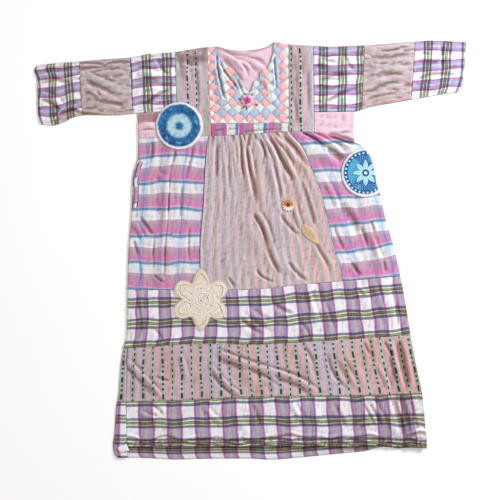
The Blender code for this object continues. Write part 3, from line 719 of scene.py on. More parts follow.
def narrow_stripe_cotton(name, tone=1.0, faded=0.0):
    """Sage stripes at the whole numbers, and between them pinks that change over the width."""
    paint = Paint(name)
    across, down = paint.threads()
    hue = paint.node("ShaderNodeValToRGB", {"stops": PINK_HUES}, {0: across / STRIPES})
    hue = paint.mix(paint.noise(22.0) * 0.5, hue, dye(232, 202, 216))
    hue = paint.mix(paint.streaks(2.4, 1.6).above(0.56, 0.14) * 0.45, hue, dye(222, 204, 196))
    stripe = (across + 0.5).floor()
    ragged = paint.streaks(3.0, 2.2, 3.0) + paint.streaks(14.0, 9.0) * 0.6
    side = across.from_whole() + (ragged - 0.8) * 0.16
    turn = paint.node("ShaderNodeTexWhiteNoise", {"noise_dimensions": "1D"}, {"W": stripe}, "Value")
    sage = paint.mix(turn, dye(198, 190, 166), dye(178, 184, 182))
    sage = paint.mix(paint.noise(16.0) * 0.7, sage, dye(196, 202, 184))
    sage = paint.mix(paint.streaks(9.0, 0.9).above(0.52, 0.2) * 0.35, sage, dye(150, 146, 134))
    colour = paint.mix(side.above(0.24, 0.16), sage, hue)
    colour = paint.mix(paint.noise(30.0) * 2 * faded, colour, dye(204, 190, 190))
    edge = side.between(0.19, 0.24, 0.03) * 0.08 + side.between(0.0, 0.04, 0.03) * 0.06
    pale = side.between(0.36, 0.40, 0.02) * 0.06
    colour = paint.shade(colour, (1 - edge + pale) * paint.slubs(STRIPE_REPEAT) * tone)
    return paint.finish(colour, paint.weave(across, down, STRIPE_REPEAT))


centre = Panel.between(WAIST, TIER_SEAM_1, PANEL_SEAM_LEFT, PANEL_SEAM_RIGHT)
CENTRE_CREASES = (
    ((0.396, 0.00), (0.358, 0.15), (0.370, 0.29), 4.0, -3.0, 0.2),
    ((0.421, 0.03), (0.421, 0.25), (0.455, 0.49), 6.5, -5.0, -0.3),
    ((0.441, 0.05), (0.447, 0.17), (0.452, 0.30), 4.0, 4.0, 0.0),
    ((0.504, 0.00), (0.470, 0.045), (0.434, 0.085), 4.0, -3.0, 0.0),
    ((0.600, 0.02), (0.597, 0.10), (0.594, 0.18), 4.0, -3.2, 0.0),
    ((0.664, 0.17), (0.660, 0.32), (0.651, 0.45), 5.0, -2.6, 0.0),
    ((0.705, 0.02), (0.762, 0.20), (0.822, 0.35), 7.0, -5.0, 0.3),
    ((0.660, 0.01), (0.690, 0.12), (0.735, 0.24), 5.5, 3.8, 0.0),
    ((0.800, 0.01), (0.850, 0.12), (0.900, 0.24), 6.0, 4.2, 0.0),
    ((0.885, 0.01), (0.930, 0.13), (0.970, 0.25), 6.0, -4.6, 0.0),
    ((0.396, 0.51), (0.472, 0.60), (0.513, 0.76), 6.0, -5.0, -0.3),
    ((0.505, 0.71), (0.530, 0.83), (0.580, 0.93), 6.0, -4.4, -0.3),
    ((0.430, 0.50), (0.505, 0.60), (0.548, 0.78), 6.0, 3.2, 0.0),
    ((0.620, 0.50), (0.690, 0.61), (0.790, 0.70), 5.0, -2.6, 0.0),
    ((0.635, 0.82), (0.690, 0.92), (0.780, 0.99), 5.0, -3.2, 0.0),
    ((0.410, 0.86), (0.440, 0.92), (0.545, 0.965), 4.0, -3.0, 0.0),
    ((0.195, 0.91), (0.220, 0.95), (0.248, 0.985), 4.0, -2.6, 0.0),
    ((0.860, 0.30), (0.885, 0.50), (0.900, 0.72), 6.0, -3.0, 0.3),
    ((0.740, 0.42), (0.770, 0.56), (0.800, 0.78), 5.0, 2.4, 0.0),
    ((0.860, 0.70), (0.900, 0.82), (0.930, 0.94), 5.0, -2.8, 0.0),
    ((0.120, 0.02), (0.110, 0.16), (0.120, 0.34), 5.0, -2.2, 0.0),
    ((0.240, 0.01), (0.225, 0.18), (0.235, 0.40), 5.0, -2.6, 0.0),
    ((0.300, 0.02), (0.290, 0.12), (0.300, 0.26), 4.5, 2.6, 0.0),
    ((0.180, 0.01), (0.170, 0.10), (0.175, 0.22), 4.0, 2.0, 0.0),
)


def centre_gathers(u, v, spot):
    """Fine gathers below the band, uneven in width, that fade out."""
    phase = 2 * np.pi * (STRIPES * u + 0.5 * np.sin(9 * u + 0.6) + 0.25 * np.sin(31 * u))
    height = 1.1 + 0.7 * np.sin(13 * u + 2.0)
    fine = 0.8 * np.cos(phase * 1.9 + 2.0 * np.sin(17 * u)) * np.exp(-v / 0.09)
    welt = 1.8 * np.exp(-(u * centre.width / 5) ** 2) * smooth_step(v * 8)
    worn = 1.3 * crumple(spot, 80, 5, 82, 5.5) * smooth_step(v * 4)
    return height * np.cos(phase) * np.exp(-v / 0.13) + fine + welt + worn


sheet = front_sheet(
    "centre_panel_cloth", "front_centre_panel", "stripe_cotton", centre,
    narrow_stripe_cotton("stripe_cotton_cloth"),
    lambda u, v: pair(STRIPES * u - 0.56 - 0.24 * np.sin(6.3 * u), v * 17), CENTRE_CREASES, 31.3,
    cell=2.5, worn=1.1, extra=centre_gathers)


# First tier. A white cotton checked in rose, lilac, peach, slate and olive, cut in one length for
# the front and one for the back. The front is slightly puckered along its two seams.

TIER_SEAM_2 = Seam(
    "across", (-349, -271), (-250, -265), (-162, -258.5), (-1, -260), (175, -252), (445, -234))
CHECK_REPEAT = (67.0, 60.0)
CHECK_WARP = (
    (0.066, dye(196, 186, 206)), (0.150, dye(168, 170, 206)), (0.205, dye(182, 156, 196)),
    (0.258, dye(190, 108, 160)), (0.290, dye(216, 168, 202)), (0.500, dye(248, 250, 255)))
CHECK_WEFT = (
    (0.016, dye(178, 186, 150)), (0.056, dye(122, 128, 100)), (0.068, dye(176, 188, 150)),
    (0.116, dye(238, 250, 214)), (0.138, dye(154, 168, 160)), (0.230, dye(128, 138, 158)),
    (0.252, dye(206, 206, 224)), (0.500, dye(250, 251, 255)))


def check_cotton(name, core, tone):
    paint = Paint(name)
    across, down = paint.threads()
    ragged = (paint.noise(90.0) - 0.5) * 0.03
    warp = paint.bands(across.from_whole() + ragged, ((0.034, core),) + CHECK_WARP, 0.008)
    weft = paint.bands(down.from_whole() + ragged, CHECK_WEFT, 0.008)
    aged = paint.mix(paint.noise(9.0).between(0.44, 0.9, 0.2) * 0.7, dye(255, 255, 255), dye(252, 244, 234))
    colour = paint.mix(1.0, paint.mix(1.0, warp, weft, "MULTIPLY"), aged, "MULTIPLY")
    colour = paint.shade(colour, paint.slubs(CHECK_REPEAT) * tone)
    return paint.finish(colour, paint.weave(across, down, CHECK_REPEAT))


check = check_cotton("check_cotton_cloth", dye(216, 180, 158), 1.01)
tier_check = Panel.between(TIER_SEAM_1, TIER_SEAM_2, SIDE_LEFT, SIDE_RIGHT)
TIER_CHECK_CREASES = (
    ((0.400, 0.45), (0.440, 0.66), (0.500, 0.86), 6.0, -2.6, 0.2),
    ((0.525, 0.22), (0.560, 0.38), (0.610, 0.50), 6.0, -2.6, 0.2),
    ((0.835, 0.12), (0.850, 0.22), (0.862, 0.32), 4.0, -2.2, 0.0),
    ((0.430, 0.30), (0.480, 0.55), (0.540, 0.70), 7.0, 2.2, 0.0),
    ((0.030, 0.10), (0.050, 0.50), (0.040, 0.92), 4.0, -1.6, 0.0),
    ((0.660, 0.05), (0.670, 0.40), (0.690, 0.80), 6.0, 1.5, 0.0),
    ((0.720, 0.30), (0.730, 0.60), (0.745, 0.95), 5.0, -1.6, 0.0),
    ((0.900, 0.05), (0.915, 0.45), (0.930, 0.95), 6.0, 1.8, 0.0),
    ((0.960, 0.05), (0.965, 0.50), (0.962, 0.95), 5.0, -2.2, 0.0),
    ((0.080, 0.62), (0.120, 0.80), (0.130, 0.98), 5.0, -1.5, 0.0),
    ((0.610, 0.60), (0.640, 0.78), (0.650, 0.98), 5.0, -1.6, 0.0),
)


def tier_check_threads(u, v):
    across = u + 0.012 * np.sin(np.pi * (u - 0.22) / 0.683)
    return pair((across - 0.046) / 0.0857, (v - 0.217) / 0.374)


sheet = front_sheet(
    "tier_check_cloth", "front_tier_check", "check_cotton", tier_check, check, tier_check_threads,
    TIER_CHECK_CREASES, 41.9, worn=1.0, pucker=1.0)
sheet = back_sheet(
    "back_tier_check_cloth", "back_tier_check", "check_cotton", tier_check, tier_check_threads, 43.3)
sheet.data.materials.append(check)


# Second tier. Pink cotton with sage stripes, and a broken line of dark dashes woven down each.
# At the photograph's left edge the back piece rolls forward over the front as a narrow strip.

TIER_SEAM_3 = Seam(
    "across", (-367, -418), (-206, -414), (-118, -410), (-1, -404), (306, -400), (476, -395))
WRAP_SEAM = Seam("down", (-338, -258), (-342, -430), (-338, -575))
FRONT_HEM = Seam("across", (-337, -541), (0, -540), (372, -541), (411, -546), (437, -543), (485, -545))
DASH_REPEAT = (27.0, 49.0)
DASH_HUES = (
    (0.00, dye(214, 184, 208)), (0.07, dye(222, 178, 194)), (0.12, dye(226, 170, 174)),
    (0.17, dye(216, 180, 204)), (0.22, dye(226, 170, 174)), (0.28, dye(212, 186, 216)),
    (0.34, dye(222, 178, 192)), (0.42, dye(228, 172, 174)), (0.48, dye(214, 184, 210)),
    (0.54, dye(228, 176, 184)), (0.62, dye(220, 178, 196)), (0.67, dye(212, 186, 216)),
    (0.74, dye(228, 176, 180)), (0.84, dye(226, 170, 172)), (0.93, dye(222, 162, 164)),
    (1.00, dye(208, 154, 158)))


def dash_stripe_cotton(name, stripes, first, last):
    """Sage stripes at the whole numbers, dashed from the first to the last of them.

    Every second stripe has a long dash and two short ones in turn, the others short ones alone.
    """
    paint = Paint(name)
    across, down = paint.threads()
    hue = paint.node("ShaderNodeValToRGB", {"stops": DASH_HUES}, {0: across / stripes})
    side = across.from_whole()
    sage = paint.mix(paint.noise(14.0).between(0.42, 1.0, 0.24), dye(168, 168, 144), dye(184, 196, 190))
    colour = paint.mix(side.above(0.245, 0.11), sage, hue)
    edge = side.between(0.20, 0.26, 0.03) * 0.12
    colour = paint.shade(colour, (1 - edge) * paint.slubs(DASH_REPEAT) * 0.975)
    odd = ((across + 0.5).floor() * 0.5).fraction().above(0.25)
    turn = (down + odd * 0.31).fraction()
    long = turn.between(0.0, 0.33, 0.03)
    for start, end in ((0.45, 0.57), (0.72, 0.84)):
        long = long.most(turn.between(start, end, 0.03))
    short = (turn * 3.0).fraction().between(0.0, 0.48, 0.06)
    dash = (long * odd).most(short * (1 - odd)) * (1 - side.above(0.084 + long * odd * 0.03, 0.03))
    dash = dash * across.between(first - 0.5, last + 0.5)
    colour = paint.mix(dash * 0.95, colour, dye(30, 52, 46))
    height = paint.weave(across, down, DASH_REPEAT) + dash * 2.0
    return paint.finish(colour, height)


dash_cotton = dash_stripe_cotton("dash_stripe_cotton_cloth", 30.0, 0, 30)
tier_dash = Panel.between(TIER_SEAM_2, TIER_SEAM_3, WRAP_SEAM, SIDE_RIGHT)
TIER_DASH_CREASES = (
    ((-0.01, 0.16), (0.065, 0.56), (0.135, 1.0), 6.0, 4.8, 0.35),
    ((0.010, 0.26), (0.075, 0.66), (0.120, 1.0), 5.0, -2.6, 0.0),
    ((0.285, 0.32), (0.348, 0.74), (0.402, 1.0), 4.0, 3.4, 0.2),
    ((0.278, 0.44), (0.338, 0.84), (0.380, 1.0), 4.0, -2.2, 0.0),
    ((0.300, 0.08), (0.420, 0.34), (0.535, 0.53), 7.5, 4.6, 0.4),
    ((0.480, 0.46), (0.590, 0.68), (0.660, 1.0), 7.5, 4.8, 0.4),
    ((0.420, 0.46), (0.490, 0.66), (0.540, 0.92), 5.0, -1.6, 0.0),
    ((0.707, 0.14), (0.713, 0.60), (0.768, 0.92), 5.0, -2.6, 0.0),
    ((0.740, 0.20), (0.765, 0.60), (0.800, 0.96), 6.0, 2.2, 0.0),
    ((0.833, 0.04), (0.840, 0.18), (0.854, 0.32), 4.0, -2.2, 0.0),
    ((0.900, 0.04), (0.920, 0.24), (0.940, 0.44), 5.0, -2.6, 0.0),
    ((0.955, 0.00), (0.958, 0.50), (0.960, 1.02), 9.0, -7.5, 0.2),
    ((0.930, 0.10), (0.934, 0.55), (0.938, 0.98), 6.0, 3.2, 0.0),
    ((0.098, 0.52), (0.125, 0.60), (0.155, 0.64), 4.0, -2.2, 0.0),
    ((0.180, 0.10), (0.200, 0.40), (0.215, 0.75), 6.0, 1.6, 0.0),
    ((0.620, 0.05), (0.640, 0.24), (0.650, 0.46), 5.0, -1.8, 0.0),
    ((0.870, 0.45), (0.885, 0.70), (0.895, 0.97), 5.0, 2.0, 0.0),
)


def tier_dash_threads(u, v):
    return pair((u - 0.0244) / 0.03334, v * 3.15)


sheet = front_sheet(
    "tier_dash_cloth", "front_tier_dash", "dash_stripe_cotton", tier_dash, dash_cotton,
    tier_dash_threads, TIER_DASH_CREASES, 51.7, worn=0.8, pucker=1.0)


def rolled(inside, radius):
    """How far an edge that is rolled under has come round, from 0 at its rim to 1 where it is flat."""
    return np.sqrt(np.clip(1 - (1 - np.clip(inside / radius, 0, 1)) ** 2, 0, 1))


def wrapped_sheet(name, node, slot, bottom, top, cloth, threads, seed):
    """A back piece that lies flat and then turns forward over the front's left edge."""
    slab = Panel.between(top, bottom, SIDE_LEFT, SIDE_RIGHT)
    flap = Panel.between(top, bottom, SIDE_LEFT, WRAP_SEAM)
    rows = int(slab.length / 5)
    under = 1 - np.linspace(0, 1, int(slab.width / BACK_CELL) + 1) ** 0.93
    over = np.linspace(0, 1, 11)[1:] * 0.99
    v, u = np.meshgrid(
        np.linspace(0.002, 0.998, rows + 1), np.concatenate((under * 0.9995, over)), indexing="ij")
    on_top = np.arange(u.shape[1]) >= len(under)
    spot = np.where(on_top[:, None], flap.place(u, v), slab.place(u, v))
    inside = np.where(on_top, u * flap.width, u * slab.width)
    round_off = rolled(inside, 2.6)
    rise = np.maximum(crumple(spot, 120, 30, 80, seed), 0) * smooth_step((inside - 6) / 30)
    rise = rise * smooth_step((0.97 - u) * 30) * smooth_step((0.97 - v) * 20)
    low = 0.1 + 1.5 * (1 - round_off) + 1.2 * rise
    high = soften(height_on(node)(spot), 4)
    high = 1.6 + (high - 1.6 + 0.7 * crumple(spot, 30, 8, 80, seed + 1)) * round_off
    level = np.where(on_top, high, low)
    along_u = np.where(on_top, -u * flap.width / slab.width, u)
    # Painted shadow: the back is darkened just below the front's hem, where the hem's edge shades it.
    front_hem_shadow = np.where(on_top, 0.0, np.exp(-((FRONT_HEM.at(spot[..., 0]) - spot[..., 1]) / 13) ** 2))
    sheet = sew_sheet(name, node, slot, spot, level, threads(along_u, v), shade=front_hem_shadow)
    sheet.data.materials.append(cloth)
    return sheet


sheet = wrapped_sheet(
    "back_tier_dash_cloth", "back_tier_dash", "dash_stripe_cotton", TIER_SEAM_3, TIER_SEAM_2,
    dash_stripe_cotton("dash_stripe_cotton_back", 30.0, -2, 31), tier_dash_threads, 53.9)


# Hem tier. The same checked cotton as the first tier. Its lower edge is turned up and sewn, and
# is drawn into hard puckers, most of all at the right. The back hangs a little lower, so that its
# inside shows below the front.

BACK_HEM = Seam(
    "across", (-366, -572), (-294, -573), (-206, -577), (-118, -575), (-1, -574.5), (51, -577.5),
    (131, -572), (218, -563.5), (306, -555), (372, -541.5), (485, -537))
hem_tier = Panel.between(TIER_SEAM_3, FRONT_HEM, WRAP_SEAM, SIDE_RIGHT)
HEM_CREASES = (
    ((0.040, 0.20), (0.080, 0.34), (0.120, 0.40), 5.0, 2.0, 0.0),
    ((0.075, 0.02), (0.110, 0.18), (0.130, 0.36), 5.0, -1.8, 0.0),
    ((0.260, 0.10), (0.290, 0.34), (0.340, 0.60), 6.0, 1.8, 0.0),
    ((0.420, 0.08), (0.440, 0.36), (0.450, 0.66), 6.0, -1.6, 0.0),
    ((0.560, 0.06), (0.580, 0.36), (0.620, 0.64), 6.0, 1.8, 0.0),
    ((0.700, 0.10), (0.720, 0.40), (0.740, 0.70), 6.0, -2.0, 0.0),
    ((0.820, 0.04), (0.850, 0.34), (0.870, 0.66), 6.0, 2.4, 0.0),
    ((0.800, 0.16), (0.818, 0.40), (0.835, 0.66), 4.5, -2.2, 0.0),
    ((0.900, 0.04), (0.915, 0.40), (0.930, 0.80), 6.0, -2.6, 0.2),
    ((0.945, 0.02), (0.955, 0.45), (0.960, 0.92), 6.0, 3.0, 0.0),
    ((0.760, 0.64), (0.800, 0.52), (0.850, 0.50), 5.0, 2.0, 0.0),
)


def hem_puckers(u, v, spot):
    """Hard wrinkles that wander along the hem's stitching, crossed by short sharp puckers."""
    x = spot[..., 0]
    wander, other = [chance(x / 55, np.full_like(x, part), 2.2) for part in (0.4, 5.6)]
    drop = (v - 0.80 + 0.12 * wander + 0.07 * smooth_step((u - 0.72) * 5)) * hem_tier.length
    lower = (v - 0.93 + 0.05 * other) * hem_tier.length
    strength = 0.85 + 0.5 * smooth_step((u - 0.55) * 3)
    ridge = 2.0 * np.exp(-(drop / 3.4) ** 2) * smooth_step(0.4 + 2.2 * other)
    ridge -= 3.4 * np.exp(-((drop - 8.0) / 3.6) ** 2) * smooth_step(0.8 + 1.6 * wander)
    ridge += 2.8 * np.exp(-(lower / 3.0) ** 2) * smooth_step(0.5 + 1.5 * wander)
    turned = smooth_step((v - 0.79 + 0.05 * other) * 12)
    across = 4.0 * crumple(spot, 20, 7, 64, 3.3) * turned
    slant = 10.0 * crumple(spot, 60, 7, -5, 8.8) * turned
    edge = (2.4 + 1.8 * other) * smooth_step((v - 0.92) * 14)
    return strength * (ridge + across + slant) + edge


def check_drift(u):
    return u - 0.02 * np.sin(np.pi * (u - 0.067) / 0.877)


def hem_threads(u, v):
    down = np.interp(v, (-0.2, 0.0, 0.49, 0.93, 1.0, 1.3), (-0.4, 0.0, 1.0, 2.0, 2.18, 2.9))
    return pair((check_drift(u) - 0.067) / 0.0877, down)


def hem_shade(u, v):
    """Darker where it is turned up, to the right, and in one deep fold near the right edge."""
    turned_up = (0.8 + 0.3 * smooth_step((u - 0.5) * 3)) * smooth_step((v - 0.83) * 14)
    return turned_up + 0.4 * smooth_step((u - 0.6) * 2.5) + 0.7 * np.exp(-((u - 0.925) / 0.02) ** 2)


sheet = front_sheet(
    "hem_tier_cloth", "front_hem_tier", "check_cotton", hem_tier, check, hem_threads, HEM_CREASES,
    61.1, cell=2.3, worn=1.0, pucker=1.1, extra=hem_puckers, shade=hem_shade)


def back_hem_threads(u, v):
    under = np.interp(
        v, (-0.2, 0.0, 0.43, 0.80, 0.855, 0.91, 1.0, 1.2), (-0.4, 0.0, 1.0, 1.74, 2.0, 2.25, 2.45, 2.6))
    down = np.where(u < 0, np.interp(v, (-0.2, 0.0, 0.30, 0.67, 1.2), (-0.5, 0.0, 1.0, 2.0, 3.4)), under)
    return pair((check_drift(u) - 0.10) / 0.0850, down)


sheet = wrapped_sheet(
    "back_hem_tier_cloth", "back_hem_tier", "check_cotton", BACK_HEM, TIER_SEAM_3, check,
    back_hem_threads, 63.7)


# Shoulder yokes. A strip of the dashed cotton on each side of the bib, from shoulder to waist,
# with a plain sage stripe at its outer or inner edge.

BIB_LEFT = Seam("down", (-119.5, 560), (-107.5, 308))
BIB_RIGHT = Seam("down", (105, 567), (105.6, 320))
yoke_left = Panel.between(SHOULDER, WAIST, ARM_SEAM_LEFT, BIB_LEFT)
sheet = front_sheet(
    "yoke_left_cloth", "front_yoke_left", "dash_stripe_cotton", yoke_left,
    dash_stripe_cotton("dash_stripe_cotton_left", 8.0, 1, 2),
    lambda u, v: pair((u - 0.09) / 0.268, v * 5.0 + 0.2),
    (((0.25, 0.04), (0.34, 0.20), (0.40, 0.42), 7.0, 2.2, 0.0),
     ((-0.02, 0.07), (0.40, 0.12), (1.02, 0.14), 13.0, -3.4, 0.0),
     ((0.10, 0.12), (0.42, 0.20), (0.84, 0.23), 4.0, 2.4, 0.0),
     ((0.62, 0.10), (0.66, 0.40), (0.70, 0.75), 5.0, -1.6, 0.0)), 71.3,
    shade=lambda u, v: 0.75 * smooth_step((0.13 + 0.06 * u - v) * 24))
yoke_right = Panel.between(SHOULDER, WAIST, BIB_RIGHT, ARM_SEAM_RIGHT)
sheet = front_sheet(
    "yoke_right_cloth", "front_yoke_right", "dash_stripe_cotton", yoke_right,
    dash_stripe_cotton("dash_stripe_cotton_right", 8.0, 0, 1),
    lambda u, v: pair((u - 0.115) / 0.36, v * 5.0 + 0.55),
    (((0.40, 0.06), (0.46, 0.34), (0.50, 0.70), 6.0, 2.0, 0.0),
     ((0.20, 0.55), (0.30, 0.76), (0.34, 0.97), 5.0, -1.6, 0.0),
     ((0.75, 0.20), (0.80, 0.50), (0.78, 0.85), 5.0, -1.6, 0.0)), 73.9)


# Waist band. A strip of the cross-striped cotton turned on its side, under the bib.

BAND_TOP = Seam("across", (-112, 348), (106, 350))
BAND_ALONG = (
    (0.082, dye(206, 104, 164)), (0.137, dye(178, 148, 168)), (0.200, dye(206, 104, 164)),
    (0.310, dye(228, 234, 228)), (0.345, dye(96, 142, 168)), (0.363, dye(206, 184, 222)),
    (0.425, dye(206, 98, 158)), (0.520, dye(184, 146, 172)), (0.557, dye(212, 128, 176)),
    (0.673, dye(226, 234, 226)), (0.720, dye(98, 142, 168)), (0.735, dye(208, 188, 224)),
    (0.805, dye(212, 112, 172)), (0.920, dye(192, 154, 176)), (1.000, dye(228, 234, 230)))
paint = Paint("madras_cotton_band")
across, down = paint.threads()
colour = paint.bands(across / 22, BAND_ALONG, 0.004)
colour = paint.shade(colour, paint.slubs((10.0, 10.0)) * 0.93)
band = Panel.between(BAND_TOP, WAIST, BIB_LEFT, BIB_RIGHT)
sheet = front_sheet(
    "waist_band_cloth", "waist_band", "madras_cotton", band,
    paint.finish(colour, paint.weave(across, down, (10.0, 10.0))),
    lambda u, v: pair(u * 22, v * 3.4),
    (((0.38, 0.74), (0.62, 0.66), (0.99, 0.62), 2.2, -2.2, 0.3),
     ((0.02, 0.60), (0.10, 0.52), (0.20, 0.56), 2.6, -1.4, 0.0),
     ((0.20, 0.50), (0.28, 0.46), (0.34, 0.48), 2.6, -1.2, 0.0),
     ((0.40, 0.36), (0.56, 0.34), (0.74, 0.36), 3.0, 1.2, 0.0)), 77.7, cell=2.4, pucker=1.2)


# Bib. Small squares of salmon, powder blue and mint cotton, pieced on point in rings that follow
# the neck, with white half squares along the edges. Each square is slightly puffed between its
# seams, and the salmon ones have a white hatch.

FRONT_NECK = np.array((
    (-120, 558.3), (-93, 560.3), (-90, 539), (-81, 522), (-65, 504), (-46, 492.5), (-30, 473),
    (-13, 444), (-5, 434), (4, 439), (12, 464), (29, 478), (27, 490), (47, 500.5), (56, 515),
    (63, 539), (66, 572.5), (105, 566.5)))
SQUARE = dict(left=-112.0, bottom=348.0, width=30.8, height=28.6, across=7)
BIB_REPEAT = (20.0, 20.0)


def walked(path):
    """How far along a path each of its points lies."""
    return np.concatenate(((0,), np.cumsum(np.hypot(*np.diff(path, axis=0).T))))


def point_on(path, steps, distance):
    """The places at these distances on a path, where steps says how far along its points lie."""
    return pair(*[np.interp(distance, steps, path[:, i]) for i in (0, 1)])


neck_steps = walked(FRONT_NECK)
neck_steps /= neck_steps[-1]
low_left, low_right = corner(BAND_TOP, BIB_LEFT), corner(BAND_TOP, BIB_RIGHT)
top_left, top_right = corner(SHOULDER, BIB_LEFT), corner(SHOULDER, BIB_RIGHT)
neck_points = FRONT_NECK.copy()
neck_points[0], neck_points[-1] = top_left, top_right
bib = Panel(
    lambda u: point_on(neck_points, neck_steps, u), BAND_TOP.between(low_left, low_right),
    BIB_LEFT.between(top_left, low_left), BIB_RIGHT.between(top_right, low_right))


def square_places(spot):
    """Places counted in squares along their two slanting sides."""
    across = (spot[..., 0] + BOX_MIDDLE[0] - SQUARE["left"]) / SQUARE["width"]
    up = (spot[..., 1] + BOX_MIDDLE[1] - SQUARE["bottom"]) / SQUARE["height"]
    return pair(across + up, across - up)


def bib_threads(u, v):
    """The squares lean and wander a little, more so up the left side."""
    spot = bib.place(u, v)
    aside, up = [chance(spot[..., 0] / 30, spot[..., 1] / 30, part) for part in (4.1, 8.3)]
    lean = 0.09 * (spot[..., 1] - 405) * smooth_step((20 - spot[..., 0]) / 120)
    return square_places(spot + pair(5.0 * aside + lean, 5.0 * up + 0.4 * lean))


def puffed_squares(u, v, spot):
    place = bib_threads(u, v)
    puff = np.prod(np.abs(np.cos(np.pi * (place - np.rint(place)))) ** 0.45, axis=-1)
    return 2.1 * puff - 1.1


paint = Paint("pieced_bib_cloth")
first, second = paint.threads()
row, column = (first + 0.5).floor(), (second + 0.5).floor()
across, up = (row + column) * 0.5, (row - column) * 0.5
ring = across.least(SQUARE["across"] - across).least(up) * 2
SQUARE_RINGS = (
    (0.5, dye(246, 240, 242)), (1.5, dye(248, 172, 174)), (2.5, dye(184, 202, 224)),
    (3.5, dye(226, 238, 234)), (4.5, dye(246, 172, 170)), (5.5, dye(186, 204, 224)),
    (9.0, dye(228, 238, 236)))
colour = paint.bands(ring / 9, [(end / 9, tone) for end, tone in SQUARE_RINGS], 0.002)
uneven = paint.node("ShaderNodeTexWhiteNoise", {"noise_dimensions": "2D"}, {"Vector": paint.node(
    "ShaderNodeCombineXYZ", None, {0: row, 1: column})}, "Value")
salmon = ring.between(0.5, 1.5).most(ring.between(3.5, 4.5))
hatch = (first * 3.6 + paint.noise(60.0) * 0.5 + uneven).from_whole().above(0.36, 0.10)
hatch = hatch * salmon * paint.noise(38.0).between(0.36, 0.9, 0.1)
colour = paint.mix(hatch * 0.85, colour, dye(252, 244, 244))
print_lines = (first * 5.0).from_whole().above(0.40, 0.08) * (1 - salmon) * 0.10
to_seam = ((first - row).size()).most((second - column).size())
stitch_line = to_seam.above(0.475, 0.03) * 0.16
light = (1 - stitch_line - print_lines) * (uneven * 0.10 + 0.93)
colour = paint.shade(colour, light * paint.slubs(BIB_REPEAT))
sheet = front_sheet(
    "bib_cloth", "front_bib", "pieced_bib", bib,
    paint.finish(colour, paint.weave(first, second, BIB_REPEAT)),
    bib_threads,
    (((0.10, 0.10), (0.16, 0.40), (0.22, 0.70), 4.0, -3.2, 0.0),
     ((0.14, 0.02), (0.24, 0.16), (0.40, 0.34), 3.5, -3.4, 0.0),
     ((0.05, 0.06), (0.11, 0.22), (0.16, 0.44), 3.0, -2.8, 0.0),
     ((0.32, 0.06), (0.38, 0.18), (0.44, 0.34), 3.5, -3.0, 0.0),
     ((0.85, 0.04), (0.86, 0.30), (0.88, 0.60), 3.0, -3.0, 0.0),
     ((0.60, 0.10), (0.70, 0.24), (0.72, 0.50), 4.0, 1.4, 0.0)), 81.3, cell=2.1, pucker=0.5,
    extra=puffed_squares)


# Sleeves. Each is three bands sewn end to end and closed along the underarm: checked cotton,
# then narrow stripes turned to run along the arm, then checked cotton again as a wide cuff.

CUFF_END_LEFT = Seam("down", (-588, 509), (-594, 495), (-586, 468), (-585, 381), (-577, 346))
CUFF_END_RIGHT = Seam("down", (594, 573), (589, 490), (582.5, 455), (574, 434))
SLEEVE_SEAM_LEFT = Seam("down", (-331, 530), (-323, 375))
CUFF_SEAM_LEFT = Seam("down", (-471, 520), (-463, 371))
SLEEVE_SEAM_RIGHT = Seam("down", (313, 564), (306, 387))
CUFF_SEAM_RIGHT = Seam("down", (453, 575), (442, 413))
# Where the underside rolls forward over the top: shares of the band's width, and for each the
# share of its length where the fold lies. Past 1 there is no fold.
UNDER_ROLL = {
    "sleeve_middle_left": ((0.0, 0.25, 0.60, 1.0), (0.915, 0.95, 1.0, 1.1)),
    "sleeve_cuff_left": ((0.30, 0.36, 0.55, 0.80, 1.0), (1.1, 0.90, 0.79, 0.80, 0.91))}
NO_ROLL = ((0, 1), (2, 2))
SLEEVE_CELL = 2.8
SLEEVE_MIDDLE = 1.35    # half way between its two layers
sleeve_panels = {}


